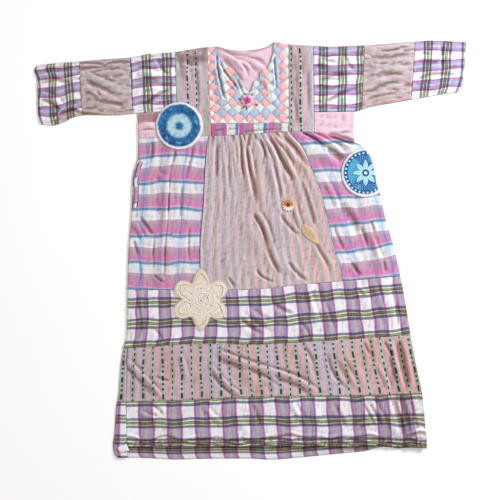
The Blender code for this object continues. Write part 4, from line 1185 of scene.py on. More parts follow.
def sleeve_sheet(name, node, slot, panel, cloth, threads, table, seed, cut):
    """A flattened tube: over the top from the shoulder line to the underarm, and back below."""
    over, under = int(panel.length / SLEEVE_CELL), int(panel.length / 6)
    worn = 5.0 if "middle" in name else 2.4
    turn = np.concatenate((np.linspace(0, 1, over + 1), np.linspace(1, 0, under + 1)[1:]))
    edge = HALF_GAP / panel.width
    columns = np.linspace(edge, 1 - edge, int(panel.width / SLEEVE_CELL) + 1)
    v, u = np.meshgrid(turn - 0.07 * np.sin(2 * np.pi * turn), columns, indexing="ij")
    spot = panel.place(u, v)
    on_top = (np.arange(len(v)) <= over)[:, None]
    inside = np.minimum(v, 1 - v) * panel.length
    round_off = rolled(inside, 3.2)
    high = soften(height_on(node)(spot[:over + 1]), 6)
    high = np.concatenate((high, np.zeros((under, len(columns)))))
    relief = creases(panel, table, spot) + worn * crumple(spot, 52, 8, 8, seed)
    relief += 0.7 * worn * crumple(spot, 26, 7, -12, seed + 6) + 0.7 * crumple(spot, 22, 8, 70, seed + 2)
    below = (v - np.interp(u, *UNDER_ROLL.get(node, NO_ROLL))) * panel.length
    relief += 4.2 * np.exp(-(below / 3.5) ** 2) - 4.0 * np.exp(-((below - 9) / 5) ** 2)
    along = np.minimum(u, 1 - u) * panel.width
    relief -= 0.9 * np.exp(-(along / 1.9) ** 2)
    high = np.maximum(high + relief * smooth_step(inside / 9), 2.4)
    low = 0.1 + 1.2 * np.maximum(crumple(spot, 90, 24, 10, seed + 4), 0) * smooth_step((inside - 6) / 16)
    low = low * smooth_step(along / 5 + 0.3) + 0.03
    level = SLEEVE_MIDDLE + (np.where(on_top, high, low) - SLEEVE_MIDDLE) * round_off
    around = np.where(on_top, v, 2 - v)
    shade = 0.45 * smooth_step((0.22 - v) * 8) * ("left" in name) + 0.4 * smooth_step((v - 0.88) * 10)
    shade = np.maximum(shade, 1.3 * smooth_step(below / 5))
    threads = threads(*drifted(panel, u, around, spot, seed))
    sheet = sew_sheet(
        name, node, slot, spot, level, threads, thickness=0.8, closed=True,
        shade=np.where(on_top, shade, 0.0))
    sheet.data.materials.append(cloth)


def sleeve_check(first_group, group_step, first_band, band_step):
    return lambda u, v: pair((v - first_band) / band_step, (u - first_group) / group_step)


def sleeve_stripes(moved):
    return lambda u, v: pair(v / 0.130 + moved, u * 5)


LEFT_MIDDLE_CREASES = (
    ((0.06, 0.34), (0.396, 0.50), (0.86, 0.70), 6.0, -4.0, 0.3),
    ((0.10, 0.24), (0.42, 0.38), (0.90, 0.58), 6.0, 3.4, 0.0),
    ((0.30, 0.74), (0.60, 0.78), (0.98, 0.90), 6.0, -3.0, 0.0),
    ((-0.05, 0.05), (0.25, 0.05), (0.54, 0.12), 3.4, -4.6, 0.0),
    ((0.44, 0.12), (0.72, 0.06), (1.04, 0.08), 3.4, -4.6, 0.0),
    ((0.00, 0.16), (0.22, 0.13), (0.44, 0.16), 3.4, -3.6, 0.0),
    ((0.55, 0.30), (0.74, 0.24), (0.98, 0.30), 4.0, 3.2, 0.0),
    ((0.10, 0.52), (0.26, 0.60), (0.44, 0.74), 3.4, 3.0, 0.0),
    ((0.30, 0.55), (0.36, 0.62), (0.42, 0.66), 3.4, -3.4, 0.0),
)
LEFT_CUFF_CREASES = (
    ((0.00, 0.54), (0.37, 0.67), (0.52, 0.84), 5.0, -3.6, 0.2),
    ((0.04, 0.46), (0.40, 0.58), (0.60, 0.76), 5.0, 2.8, 0.0),
    ((0.05, 0.14), (0.45, 0.20), (0.95, 0.16), 7.0, 2.6, 0.0),
    ((0.20, 0.08), (0.55, 0.30), (0.98, 0.36), 5.0, -2.0, 0.0),
)
UPPER_CREASES = (
    ((0.05, 0.20), (0.40, 0.32), (0.85, 0.40), 7.0, 2.6, 0.0),
    ((0.20, 0.90), (0.55, 0.72), (0.95, 0.64), 6.0, -2.8, 0.0),
    ((0.10, 0.60), (0.40, 0.56), (0.80, 0.62), 6.0, 2.0, 0.0),
    ((0.60, 0.04), (0.70, 0.26), (0.92, 0.42), 5.0, -1.8, 0.0),
)
RIGHT_MIDDLE_CREASES = (
    ((0.04, 0.16), (0.46, 0.22), (0.96, 0.18), 6.0, -2.4, 0.0),
    ((0.05, 0.44), (0.50, 0.40), (0.95, 0.46), 7.0, 2.8, 0.0),
    ((0.10, 0.76), (0.50, 0.66), (0.90, 0.70), 6.0, -2.8, 0.0),
    ((0.30, 0.10), (0.54, 0.12), (0.80, 0.08), 3.6, -3.2, 0.0),
    ((0.12, 0.30), (0.34, 0.36), (0.62, 0.32), 4.0, 3.0, 0.0),
    ((0.40, 0.55), (0.62, 0.52), (0.94, 0.60), 4.0, -3.0, 0.0),
    ((0.05, 0.88), (0.40, 0.84), (0.85, 0.86), 4.0, -2.8, 0.0),
)
RIGHT_CUFF_CREASES = (
    ((0.50, 0.02), (0.56, 0.30), (0.54, 0.62), 5.0, -2.6, 0.0),
    ((0.06, 0.24), (0.40, 0.32), (0.92, 0.26), 6.0, 2.8, 0.0),
    ((0.10, 0.66), (0.46, 0.60), (0.90, 0.70), 6.0, -2.6, 0.0),
    ((0.62, 0.50), (0.76, 0.56), (0.98, 0.50), 5.0, 2.2, 0.0),
)
sleeve_cloth = check_cotton("check_cotton_sleeve", dye(206, 198, 214), 1.08)
sleeve_stripe = narrow_stripe_cotton("stripe_cotton_sleeve", 0.95, 0.4)
LEFT_BANDS = (
    ("upper", SLEEVE_SEAM_LEFT, ARM_SEAM_LEFT, sleeve_check(0.36, 0.447, 0.18, 0.305), UPPER_CREASES,
     91.1, (0.125, 0.33)),
    ("middle", CUFF_SEAM_LEFT, SLEEVE_SEAM_LEFT, sleeve_stripes(-0.15), LEFT_MIDDLE_CREASES,
     93.3, (0.145, 0.31)),
    ("cuff", CUFF_END_LEFT, CUFF_SEAM_LEFT, sleeve_check(0.355, 0.39, 0.165, 0.31), LEFT_CUFF_CREASES,
     95.5, (0.125, 0.32)),
)
RIGHT_BANDS = (
    ("upper", ARM_SEAM_RIGHT, SLEEVE_SEAM_RIGHT, sleeve_check(0.20, 0.38, 0.07, 0.30), UPPER_CREASES,
     97.7, (0.135, 0.36)),
    ("middle", SLEEVE_SEAM_RIGHT, CUFF_SEAM_RIGHT, sleeve_stripes(0.15), RIGHT_MIDDLE_CREASES,
     99.9, (0.145, 0.34)),
    ("cuff", CUFF_SEAM_RIGHT, CUFF_END_RIGHT, sleeve_check(0.27, 0.37, 0.09, 0.348), RIGHT_CUFF_CREASES,
     102.2, (0.14, 0.31)),
)
for side, underarm, bands in (("left", UNDERARM_LEFT, LEFT_BANDS), ("right", UNDERARM_RIGHT, RIGHT_BANDS)):
    for band_name, left, right, threads, table, seed, cut in bands:
        node = "sleeve_" + band_name + "_" + side
        slot, cloth = "check_cotton", sleeve_cloth
        if band_name == "middle":
            slot, cloth = "stripe_cotton", sleeve_stripe
        sleeve_panels[node] = Panel.between(SHOULDER, underarm, left, right)
        sleeve_sheet(node + "_cloth", node, slot, sleeve_panels[node], cloth, threads, table, seed, cut)


# Round patches. Each is a disc of blue cotton with a pale edge turned under and stitched down all
# round. The left one is tie-dyed in an even ring, the right one printed with a plain daisy
# and a border of dots, and cut straight along the side seam.

def around(motif, points):
    """Points right of and above a motif's centre, as places in the frame."""
    return np.array(points) + (motif["x"], motif["y"]) - BOX_MIDDLE


def motif_sheet(name, node, slot, motif, reach, cloth, thickness=0.85, rings=22, sectors=120,
                relief=None):
    """A motif sewn on the front: rings round its centre, as far out as reach gives for each angle.

    The cloth's UV map holds the share of a turn and the share of the way out.
    """
    angle, share = np.meshgrid(
        np.linspace(0, 2 * np.pi, sectors + 1), np.linspace(0, 1, rings + 1), indexing="ij")
    far = share * reach(angle)
    spot = pair(motif["x"] + far * np.cos(angle), motif["y"] + far * np.sin(angle))
    spot -= BOX_MIDDLE
    level = height_on(node)(spot)
    if relief is not None:
        level += relief(angle, share, far)
    level[-1], level[:, 0] = level[0], level[:, 0].mean()
    threads = pair(angle / (2 * np.pi), share)
    sheet = sew_sheet(name, node, slot, spot, level, threads, thickness, closed=True)
    sheet.data.materials.append(cloth)
    return sheet


def turned_edge(angle, share, far):
    """A rim that stands up over its turned hem, and cloth that is a little drawn up inside it."""
    rim = 0.4 * np.exp(-((share - 0.95) / 0.035) ** 2) - 0.3 * np.exp(-((share - 0.90) / 0.02) ** 2)
    folds = 0.35 * np.sin(17 * angle + 1.5 * np.sin(5 * angle)) * smooth_step((share - 0.45) * 2.5)
    return rim + folds - 0.9 * smooth_step((share - 0.985) * 66)


def beside(paint, motif):
    """How far a point lies right of a motif's centre and above it, in mm."""
    place = paint.node("ShaderNodeTexCoord", None, None, "Object")
    x = paint.node("ShaderNodeSeparateXYZ", None, {0: place})
    y = Amount(paint, x.socket.node.outputs[1])
    return x * 1000 - (motif["x"] - BOX_MIDDLE[0]), y * 1000 - (motif["y"] - BOX_MIDDLE[1])


def centred(x, y):
    """How far a point lies from a motif's centre, and at what share of a turn."""
    return (x * x + y * y) ** 0.5, y.sum("ARCTAN2", y, x) / (2 * np.pi)


def patch_cloth(name, motif, colour_for, edge):
    """A round patch's cotton: its design inside a pale edge, with the weave over both."""
    paint = Paint(name)
    x, y = beside(paint, motif)
    far, turns = centred(x, y)
    far = far / motif["radius"]
    colour = colour_for(paint, far, turns, x, y)
    _, share = paint.threads()
    lopsided = ((turns + 0.14) * (2 * np.pi) + np.pi / 2).sine() * 0.022
    frayed = share + paint.noise(300.0, 2.0) * 0.05 + (paint.noise(60.0) - 0.5) * 0.10 + lopsided
    pale = paint.mix(paint.noise(160.0), dye(226, 226, 236), dye(252, 250, 252))
    colour = paint.mix(frayed.above(edge, 0.03), colour, pale)
    inner = frayed.between(edge - 0.035, edge, 0.02) * (turns * 84).fraction().between(0.1, 0.6, 0.1)
    colour = paint.mix(inner * 0.5, colour, dye(204, 224, 238))
    colour = paint.shade(colour, paint.noise(420.0, 1.0) * 0.3 + 0.85)
    return paint.finish(colour, paint.weave(x, y, (1.0, 1.0)), sheen=0.1)


def tie_dyed_ring(paint, far, turns, x, y):
    """An even ring left pale by a tied thread, in cloth that took more dye further out."""
    streak = paint.streaks(34.0, 3.0, 3.0)
    far = far + (paint.noise(13.0, 3.0) - 0.5) * 0.30 + (streak - 0.5) * 0.16
    depth = paint.noise(34.0, 3.0)
    ground = paint.mix(depth.between(0.46, 0.9, 0.3), dye(42, 122, 184), dye(14, 76, 132))
    ground = paint.mix(streak.above(0.56, 0.2) * 0.4, ground, dye(86, 160, 204))
    ring = far.between(0.17, 0.50, 0.12)
    colour = paint.mix(ring, ground, paint.mix(depth, dye(206, 234, 238), dye(150, 204, 220)))
    speck = paint.noise(90.0).above(0.60, 0.1)
    colour = paint.mix(ring * speck * 0.4, colour, dye(86, 148, 180))
    return paint.mix(far.between(0.70, 0.78, 0.08) * speck * 0.7, colour, dye(140, 196, 220))


def daisy_print(paint, far, turns, x, y):
    """A plain eight-petalled daisy, small dots round it and a border of larger dots."""
    far = far + (paint.noise(70.0, 2.0) - 0.5) * 0.06
    petal = (turns * 8).from_whole() * -2 + 1
    reach = petal ** 0.6 * 0.40 + 0.14
    ground = paint.mix(paint.noise(30.0).between(0.5, 0.9, 0.1), dye(74, 160, 202), dye(34, 110, 168))
    step = (x * 0.17).from_whole() * 2
    rise = (y * 0.17).from_whole() * 2
    small_dots = (step * step + rise * rise).above(1.25, 0.2)
    colour = paint.mix(small_dots * far.between(0.5, 0.72, 0.03) * 0.9, ground, dye(170, 222, 238))
    inside = reach - far
    colour = paint.mix(inside.above(-0.035, 0.02), colour, dye(14, 66, 120))
    colour = paint.mix(inside.above(0.0, 0.02), colour, dye(186, 230, 240))
    vein = (turns * 8).from_whole().between(-0.01, 0.05, 0.03) * inside.above(0.06, 0.04)
    colour = paint.mix(vein * 0.7, colour, dye(70, 150, 196))
    colour = paint.mix((0.15 - far).above(0.0, 0.02), colour, dye(20, 80, 140))
    colour = paint.mix((0.07 - far).above(0.0, 0.02), colour, dye(206, 236, 244))
    colour = paint.mix(far.between(0.74, 0.89, 0.015), colour, dye(18, 78, 140))
    aside, out = (turns * 30).from_whole() * 0.165, far - 0.815
    border = (0.042 - (aside * aside + out * out) ** 0.5).above(0.0, 0.012)
    return paint.mix(border, colour, dye(200, 234, 244))


def round_reach(motif):
    return lambda angles: np.full_like(angles, motif["radius"])


def reach_to_side(motif, margin):
    """A round patch that stops a margin inside the right side seam."""
    def reach(angles):
        near, far = np.zeros_like(angles), np.full_like(angles, motif["radius"])
        for _ in range(20):
            middle = (near + far) / 2
            limit = SIDE_RIGHT.at(motif["y"] + middle * np.sin(angles)) - margin
            inside = motif["x"] + middle * np.cos(angles) < limit
            near, far = np.where(inside, middle, near), np.where(inside, far, middle)
        return near
    return reach


motif_sheet(
    "round_patch_left_cloth", "round_patch_left", "indigo_patch", PATCH_LEFT, round_reach(PATCH_LEFT),
    patch_cloth("indigo_patch_cloth", PATCH_LEFT, tie_dyed_ring, 0.93),
    relief=turned_edge)
motif_sheet(
    "round_patch_right_cloth", "round_patch_right", "blue_print_patch", PATCH_RIGHT,
    reach_to_side(PATCH_RIGHT, 2.0), patch_cloth("blue_print_cloth", PATCH_RIGHT, daisy_print, 0.925),
    relief=turned_edge)


# Doily. Cream cotton lace with six petals: a pointed one above and below, and two rounded ones on
# each side. Thicker cords outline each petal, and an edge of small loops runs all round.

DOILY_PETALS = (
    (90, 88, 25, 1.0), (147, 80, 26, 2.4), (207, 79, 26, 2.4), (270, 80, 25, 1.1), (329, 75, 26, 2.2),
    (33, 80, 26, 2.4))
DOILY_VALLEY = 52.0


def doily_reach(angles):
    """Each petal is given by its angle, its reach, its half angle and how round it is."""
    far = np.full_like(angles, DOILY_VALLEY)
    for degrees, reach, half_angle, roundness in DOILY_PETALS:
        turn = np.angle(np.exp(1j * (angles - np.radians(degrees))))
        share = np.clip(np.abs(turn) / np.radians(half_angle), 0, 1)
        far = np.maximum(far, DOILY_VALLEY + (reach - DOILY_VALLEY) * (1 - share ** roundness))
    return far


def lay_cords(name, cloth, paths, radius, lift, on):
    """Cords laid along paths on a piece of cloth: a curve with a round section, made a mesh."""
    height = height_on(on)
    curve = bpy.data.curves.new(name, "CURVE")
    curve.dimensions = "3D"
    curve.bevel_depth = radius * MM
    curve.bevel_resolution = 1
    curve.use_fill_caps = True
    for spot, closed in paths:
        spline = curve.splines.new("POLY")
        spline.points.add(len(spot) - 1)
        place = np.ones((len(spot), 4))
        place[:, :2], place[:, 2] = spot * MM, (height(spot) + lift) * MM
        spline.points.foreach_set("co", place.ravel())
        spline.use_cyclic_u = closed
    cords = bpy.data.objects.new(name, curve)
    bpy.context.scene.collection.objects.link(cords)
    bpy.ops.object.select_all(action="DESELECT")
    cords.select_set(True)
    bpy.context.view_layer.objects.active = cords
    bpy.ops.object.convert(target="MESH")
    cords = bpy.context.object
    bpy.ops.object.shade_smooth()
    cords.data.materials.clear()
    cords.data.materials.append(cloth)
    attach(cords, "root")


def thread_cloth(name, dark, light, patches=60.0, fuzz=900.0, **relief):
    """Thread in two tones that run into each other, with a fuzz over it."""
    paint = Paint(name)
    colour = paint.mix(paint.noise(patches), dye(*dark), dye(*light))
    return paint.finish(colour, paint.noise(fuzz), **relief)


lace = Paint("cream_lace_cotton")
x, y = beside(lace, DOILY)
far, turns = centred(x, y)
colour = lace.mix(lace.noise(26.0, 3.0), dye(255, 246, 232), dye(250, 240, 228))
colour = lace.mix((y / 60 - 0.45).clamp() * 0.7, colour, dye(252, 228, 200))
colour = lace.mix((y / -40 - 1.1).clamp() * 0.8, colour, dye(248, 226, 190))
colour = lace.mix((24 - far).above(0.0, 18.0) * 0.6, colour, dye(240, 240, 232))
rounds = (far / 6.4 + lace.noise(40.0) * 0.3).from_whole().above(0.36, 0.12)
posts = (turns * 72).from_whole().above(0.30, 0.16)
holes = lace.node("ShaderNodeTexVoronoi", None, {"Vector": lace.node(
    "ShaderNodeTexCoord", None, None, "Object"), "Scale": 430.0})
open_work = holes.above(0.62, 0.2)
colour = lace.mix(rounds * posts * 0.40, colour, dye(190, 164, 130))
colour = lace.mix(open_work * 0.4, colour, dye(184, 160, 130))
EYELETS = ((0, 0), (0, 33), (20, -10), (17.6, 6.6), (27, -14), (-33.5, 2), (-29, -14.6), (-46, -4.6),
           (19, 14), (-27.6, 19))
hole = x * 0.0
for right, up in EYELETS:
    away_x, away_y = x - right, y - up
    hole = hole.most((1.7 - (away_x * away_x + away_y * away_y) ** 0.5).above(0.0, 0.6))
# Painted shade: each eyelet is painted dark brown for the shade in its hole; it also sinks in the relief.
colour = lace.mix(hole * 0.85, colour, dye(92, 74, 66))
lace_cloth = lace.finish(colour, 1 - rounds * posts * 0.8 - open_work * 0.7 - hole, depth=0.6, sheen=0.1)


def lace_rounds(angle, share, far):
    swell = 0.16 * np.cos(2 * np.pi * far / 12.8) + 0.10 * np.cos(36 * angle) * smooth_step(share * 2)
    return swell - 0.9 * smooth_step((share - 0.97) * 33) + 0.3


motif_sheet(
    "doily_lace", "doily", "cream_lace", DOILY, doily_reach, lace_cloth,
    thickness=0.9, rings=44,
    sectors=240, relief=lace_rounds)
PETAL_CORDS = (
    arc((-17, 44), (-15, 60), (0, 78)), arc((0, 78), (15, 62), (18, 46)),
    arc((-60.5, 40), (-45, 46), (-28, 41)), arc((-60.5, 40), (-55, 22), (-38, 8)),
    arc((30, 38), (45, 44), (61, 40)), arc((61, 40), (60, 22), (47, 8)),
    arc((-29, -8), (-44, -2), (-54, -8)), arc((-54, -8), (-62, -20), (-65, -32)),
    arc((-65, -32), (-48, -40), (-29, -34)),
    arc((36, -4), (50, -8), (57, -22)), arc((57, -22), (60, -30), (59, -36)),
    arc((59, -36), (42, -41), (25, -32)),
    arc((-21, -40), (-17, -56), (-4, -72)), arc((-4, -72), (12, -58), (17, -42)))
ring_angle = np.linspace(0, 2 * np.pi, 48, endpoint=False)
centre_ring = 22 * pair(np.cos(ring_angle), np.sin(ring_angle))
cord_cloth = thread_cloth("cream_lace_cord", (250, 232, 206), (255, 246, 228), depth=0.3)
paths = [(around(DOILY, path), False) for path in PETAL_CORDS] + [(around(DOILY, centre_ring), True)]
lay_cords("doily_cords", cord_cloth, paths, 0.95, 0.35, "doily_lace")
# Painted shadow: a thinner tan cord just inside each petal cord stands for the shadow beside it.
cord_shadow_cloth = thread_cloth("painted_lace_cord_shadow", (192, 164, 124), (208, 184, 146), depth=0.3)
paths = [(around(DOILY, path * 0.955), False) for path in PETAL_CORDS]
lay_cords("doily_cord_shadows", cord_shadow_cloth, paths, 0.6, 0.2, "doily_lace")


def rim_path(reach, margin, count):
    """All round a motif, a margin inside its edge."""
    angle = np.linspace(0, 2 * np.pi, count)
    return (reach(angle) - margin)[:, None] * pair(np.cos(angle), np.sin(angle))


LOOP_STEP, LOOP_RADIUS = 5.2, 2.1
edge = rim_path(doily_reach, 0.0, 2000)
steps = walked(edge)
turn = np.linspace(0, 2 * np.pi, 9)[:-1]
loops = []
for distance in np.arange(0, steps[-1], LOOP_STEP):
    here = point_on(edge, steps, distance)
    loop = here + here / np.hypot(*here) * 0.9 + LOOP_RADIUS * pair(np.cos(turn), np.sin(turn))
    loops.append((around(DOILY, loop), True))
lay_cords("doily_loops", cord_cloth, loops, 0.55, -0.1, "doily_lace")


# Rosette. A small flower of pink ribbon with a magenta heart, sewn at the foot of the neck slit,
# with a few dark leaves of thread round it.

ribbon = Paint("rosette_ribbon")
turn, share = ribbon.threads()
petal = (turn * 5).from_whole() * 2
colour = ribbon.mix((share - 0.45).clamp() * 2, dye(250, 168, 214), dye(252, 226, 244))
colour = ribbon.mix((1 - petal).above(0.80, 0.3) * 0.5, colour, dye(226, 138, 188))
ribbon_cloth = ribbon.finish(colour, ribbon.noise(700.0), depth=0.15, roughness=0.7, sheen=0.2)
motif_sheet(
    "rosette_petals", "rosette", "rosette_thread", ROSETTE,
    lambda angles: 15.4 + 3.6 * np.abs(np.cos(2.5 * angles + 0.4)) ** 0.5, ribbon_cloth,
    thickness=0.8, rings=10, sectors=80,
    relief=lambda angle, share, far: (
        1.8 * np.abs(np.cos(2.5 * angle + 0.4)) * np.sin(np.pi * share * 0.9)
        - 2.2 * smooth_step(share * 1.1)))
heart = Paint("rosette_heart_ribbon")
turn, share = heart.threads()
swirl = (share * 2.4 - turn).from_whole() * 2
colour = heart.mix(swirl, dye(176, 20, 96), dye(236, 92, 158))
colour = heart.mix((0.25 - share).above(0.0, 0.1), colour, dye(150, 8, 76))
heart_cloth = heart.finish(colour, heart.noise(700.0), depth=0.15, roughness=0.7, sheen=0.2)
motif_sheet(
    "rosette_heart", "rosette", "rosette_thread", ROSETTE,
    lambda angles: 8.6 + 2.0 * np.abs(np.cos(1.5 * angles + 0.2)) ** 0.6, heart_cloth,
    thickness=0.8, rings=10, sectors=60,
    relief=lambda angle, share, far: (
        1.2 + 1.0 * np.cos(2 * np.pi * (share * 2.4) - angle) * share - 1.6 * share ** 3))
dark_cloth = thread_cloth("rosette_leaf_thread", (44, 38, 52), (84, 72, 88), 80.0, depth=0.2)
ROSETTE_LEAVES = (
    ((-9.5, 19.5), (-5, 17), (-1, 15)), ((15.5, 19), (12.5, 15), (9, 13)), ((4, 17), (9, 15), (12.5, 11)),
    ((-24, 6.5), (-21, 4), (-18, 1.5)), ((22, -9.5), (25, -12), (29, -13)),
    ((-16.5, -22), (-12, -19), (-7, -15.5)), ((-1, -25.5), (-1.5, -21), (-4, -16.5)))
paths = [(around(ROSETTE, arc(*leaf, count=6)), False) for leaf in ROSETTE_LEAVES]
lay_cords("rosette_leaves", dark_cloth, paths, 1.5, 0.3, "bib_cloth")


# Small flower and leaf. Cut from tan and olive cotton and sewn on the centre panel.

tan = Paint("tan_flower_cotton")
turn, share = tan.threads()
_, down = beside(tan, SMALL_FLOWER)
petal = (turn * 13).from_whole() * 2
colour = tan.mix((share * 1.5).clamp(), dye(190, 106, 52), dye(216, 146, 88))
streaks = tan.noise(1.0, 2.0, (60, 1.5, 1), "UV")
colour = tan.mix(petal.above(0.62, 0.3) * 0.7, colour, dye(150, 86, 40))
colour = tan.mix(streaks.above(0.55, 0.2) * 0.4, colour, dye(166, 90, 40))
pale = ((down * -0.12).clamp() * share.above(0.34, 0.2)).most(share.above(0.84, 0.2) * 0.5)
colour = tan.mix(pale * (1 - petal.above(0.70, 0.3) * 0.6), colour, dye(255, 246, 236))
colour = tan.mix((0.30 - share).above(0.0, 0.12), colour, dye(98, 52, 22))
motif_sheet(
    "small_flower_cloth", "small_flower", "tan_thread", SMALL_FLOWER,
    lambda angles: 18.0 * (1 - 0.17 * (0.5 - 0.5 * np.cos(13 * angles))),
    tan.finish(colour, tan.noise(800.0)),
    rings=10, sectors=130,
    relief=lambda angle, share, far: (
        0.5 * np.cos(13 * angle) * np.sin(np.pi * share) + 0.3 - 0.8 * smooth_step((share - 0.9) * 10)))

LEAF_SHAPE = dict(half_length=32.5, half_width=13.5, tip=1.2, turn=-49.0)


def turned(along, aside, degrees):
    """Places along and beside a line that is turned by so many degrees from the x axis."""
    cos, sin = np.cos(np.radians(degrees)), np.sin(np.radians(degrees))
    return pair(along * cos - aside * sin, along * sin + aside * cos)


share, across_leaf = np.meshgrid(np.linspace(0, 1, 25), np.linspace(-1, 1, 13))
half_width = LEAF_SHAPE["half_width"] * np.sin(np.pi * share ** 0.85) ** 0.75 + LEAF_SHAPE["tip"]
along = LEAF_SHAPE["half_length"] * (2 * share - 1)
aside = -across_leaf * half_width
spot = around(LEAF, turned(along, aside, LEAF_SHAPE["turn"]))
leaf_edge = np.concatenate((spot[1], spot[-2][::-1]))
level = height_on("leaf")(spot) + 0.5 * (1 - np.abs(across_leaf) ** 2) - 0.25 * np.exp(-(aside / 1.2) ** 2)
level -= 0.6 * smooth_step((np.abs(across_leaf) - 0.85) * 7)
leaf = Paint("olive_leaf_cotton")
along, side = leaf.threads()
colour = leaf.mix(leaf.noise(50.0, 3.0), dye(204, 178, 132), dye(214, 182, 150))
colour = leaf.mix(side.size().above(0.76, 0.12) * 0.8, colour, dye(236, 212, 184))
colour = leaf.mix((along - 0.66).clamp() * 3, colour, dye(240, 208, 160))
colour = leaf.mix((0.06 - side.size()).above(0.0, 0.05) * 0.4, colour, dye(160, 138, 84))
sheet = sew_sheet(
    "leaf_cloth", "leaf", "leaf_thread", spot, level, pair(share, across_leaf), 0.8)
sheet.data.materials.append(leaf.finish(colour, leaf.weave(along, side, (60.0, 13.0))))


# Pocket facing. A narrow strip of the cross-striped cotton that edges the mouth of the side pocket,
# a little open. The shade in the gap on both sides of it is painted, as dark cords along the strip.

FACING_STRIP = dict(top=245.0, length=130.0, from_side=6.0, width=9.0)
v, u = np.meshgrid(np.linspace(0, 1, 44), np.linspace(0, 1, 7), indexing="ij")
mouth_y = FACING_STRIP["top"] - FACING_STRIP["length"] * v
wander = 1.1 * np.sin(v * 11) + 0.8 * np.sin(v * 23 + 1)
mouth_x = SIDE_LEFT.at(mouth_y) + FACING_STRIP["from_side"] + FACING_STRIP["width"] * u + wander
spot = pair(mouth_x, mouth_y) - BOX_MIDDLE
lumps = sum(np.exp(-((v - place) / 0.05) ** 2) for place in (0.12, 0.36, 0.76, 0.90))
level = height_on("pocket_facing")(spot) + 0.4 + 1.5 * lumps * np.sin(np.pi * u) - 0.9 * (2 * u - 1) ** 4
sheet = sew_sheet(
    "pocket_facing_cloth", "pocket_facing", "madras_cotton", spot, level,
    pair(u * 0.06 + 0.02, (v - 0.30) / 0.55))
sheet.data.materials.append(madras)
facing_seam = spot[2:-2, 5]
# Painted shadow: dark cords on both sides of the facing stand for the shade in the pocket mouth.
gap_cloth = thread_cloth("pocket_mouth_shadow", (70, 48, 56), (128, 96, 104), fuzz=500.0)
paths = []
for offset, start, end in ((4.6, 238, 150), (4.4, 134, 114), (16.4, 240, 222), (16.6, 200, 118)):
    y = np.linspace(start, end, 14)
    x = SIDE_LEFT.at(y) + offset + np.interp(245 - y, (245.0 - mouth_y[:, 0]), wander[:, 0])
    paths.append((pair(x, y) - BOX_MIDDLE, False))
lay_cords("pocket_mouth_gap", gap_cloth, paths, 1.0, -0.2, "side_panel_left_cloth")


# Sewing. Pale thread along the seams, hem, cuffs, neck and pocket, a dark seam beside the left side
# panel, made dark and wide enough to stand also for painted shadow along that seam, and small
# slanting stitches round the patches and the leaf. One stitch is a short rounded bar, and the
# stitches of a thread are one mesh.

def one_stitch():
    bpy.ops.object.select_all(action="DESELECT")
    bpy.ops.mesh.primitive_uv_sphere_add(segments=6, ring_count=3, radius=0.5)
    stitch = bpy.context.object
    places = np.array([v.co for v in stitch.data.vertices])[:, (2, 0, 1)]
    faces = [tuple(f.vertices) for f in stitch.data.polygons]
    bpy.ops.object.delete()
    return places, faces


STITCH_PLACES, STITCH_FACES = one_stitch()


def sew_stitches(name, cloth, rows, length=2.6, width=0.9, lift=0.1):
    """A row holds the cloth's name, a path on it, the step between stitches and their slant."""
    places, faces = [], []
    for on, path, step, slant in rows:
        steps = walked(path)
        distance = np.arange(step / 2, steps[-1], step)
        middle = point_on(path, steps, distance)
        ahead = point_on(path, steps, distance + 0.5) - middle
        turn = np.arctan2(ahead[:, 1], ahead[:, 0]) + np.radians(slant)
        way = pair(np.cos(turn), np.sin(turn))
        height = height_on(on)
        start, end = middle - way * length / 2, middle + way * length / 2
        low, high = height(start), height(end)
        for spot, along, rise, level in zip(middle, way, high - low, (low + high) / 2 + lift):
            number = len(places) * len(STITCH_PLACES)
            aside = np.array((-along[1], along[0], 0.0)) * width
            along = np.array((*(along * length), np.clip(rise, -1.5, 1.5)))
            up = np.array((0.0, 0.0, width))
            places.append(STITCH_PLACES @ np.stack((along, aside, up)) + (*spot, level))
            faces += [tuple(number + i for i in face) for face in STITCH_FACES]
    mesh = bpy.data.meshes.new(name)
    mesh.from_pydata((np.concatenate(places) * MM).tolist(), [], faces)
    thread = bpy.data.objects.new(name, mesh)
    bpy.context.scene.collection.objects.link(thread)
    mesh.polygons.foreach_set("use_smooth", [True] * len(faces))
    mesh.materials.append(cloth)
    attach(thread, "root")


def row_across(panel, below_top=None, above_bottom=None):
    u = np.linspace(0.006, 0.994, 120)
    v = below_top / panel.length if above_bottom is None else 1 - above_bottom / panel.length
    return panel.place(u, np.full_like(u, v))


def row_down(panel, from_left=None, from_right=None, start=0.01, end=0.99):
    v = np.linspace(start, end, 60)
    u = from_left / panel.width if from_right is None else 1 - from_right / panel.width
    return panel.place(np.full_like(v, u), v)


def sleeve_row(node, from_left=None, from_right=None):
    return row_down(sleeve_panels[node], from_left, from_right, start=0.04, end=0.96)


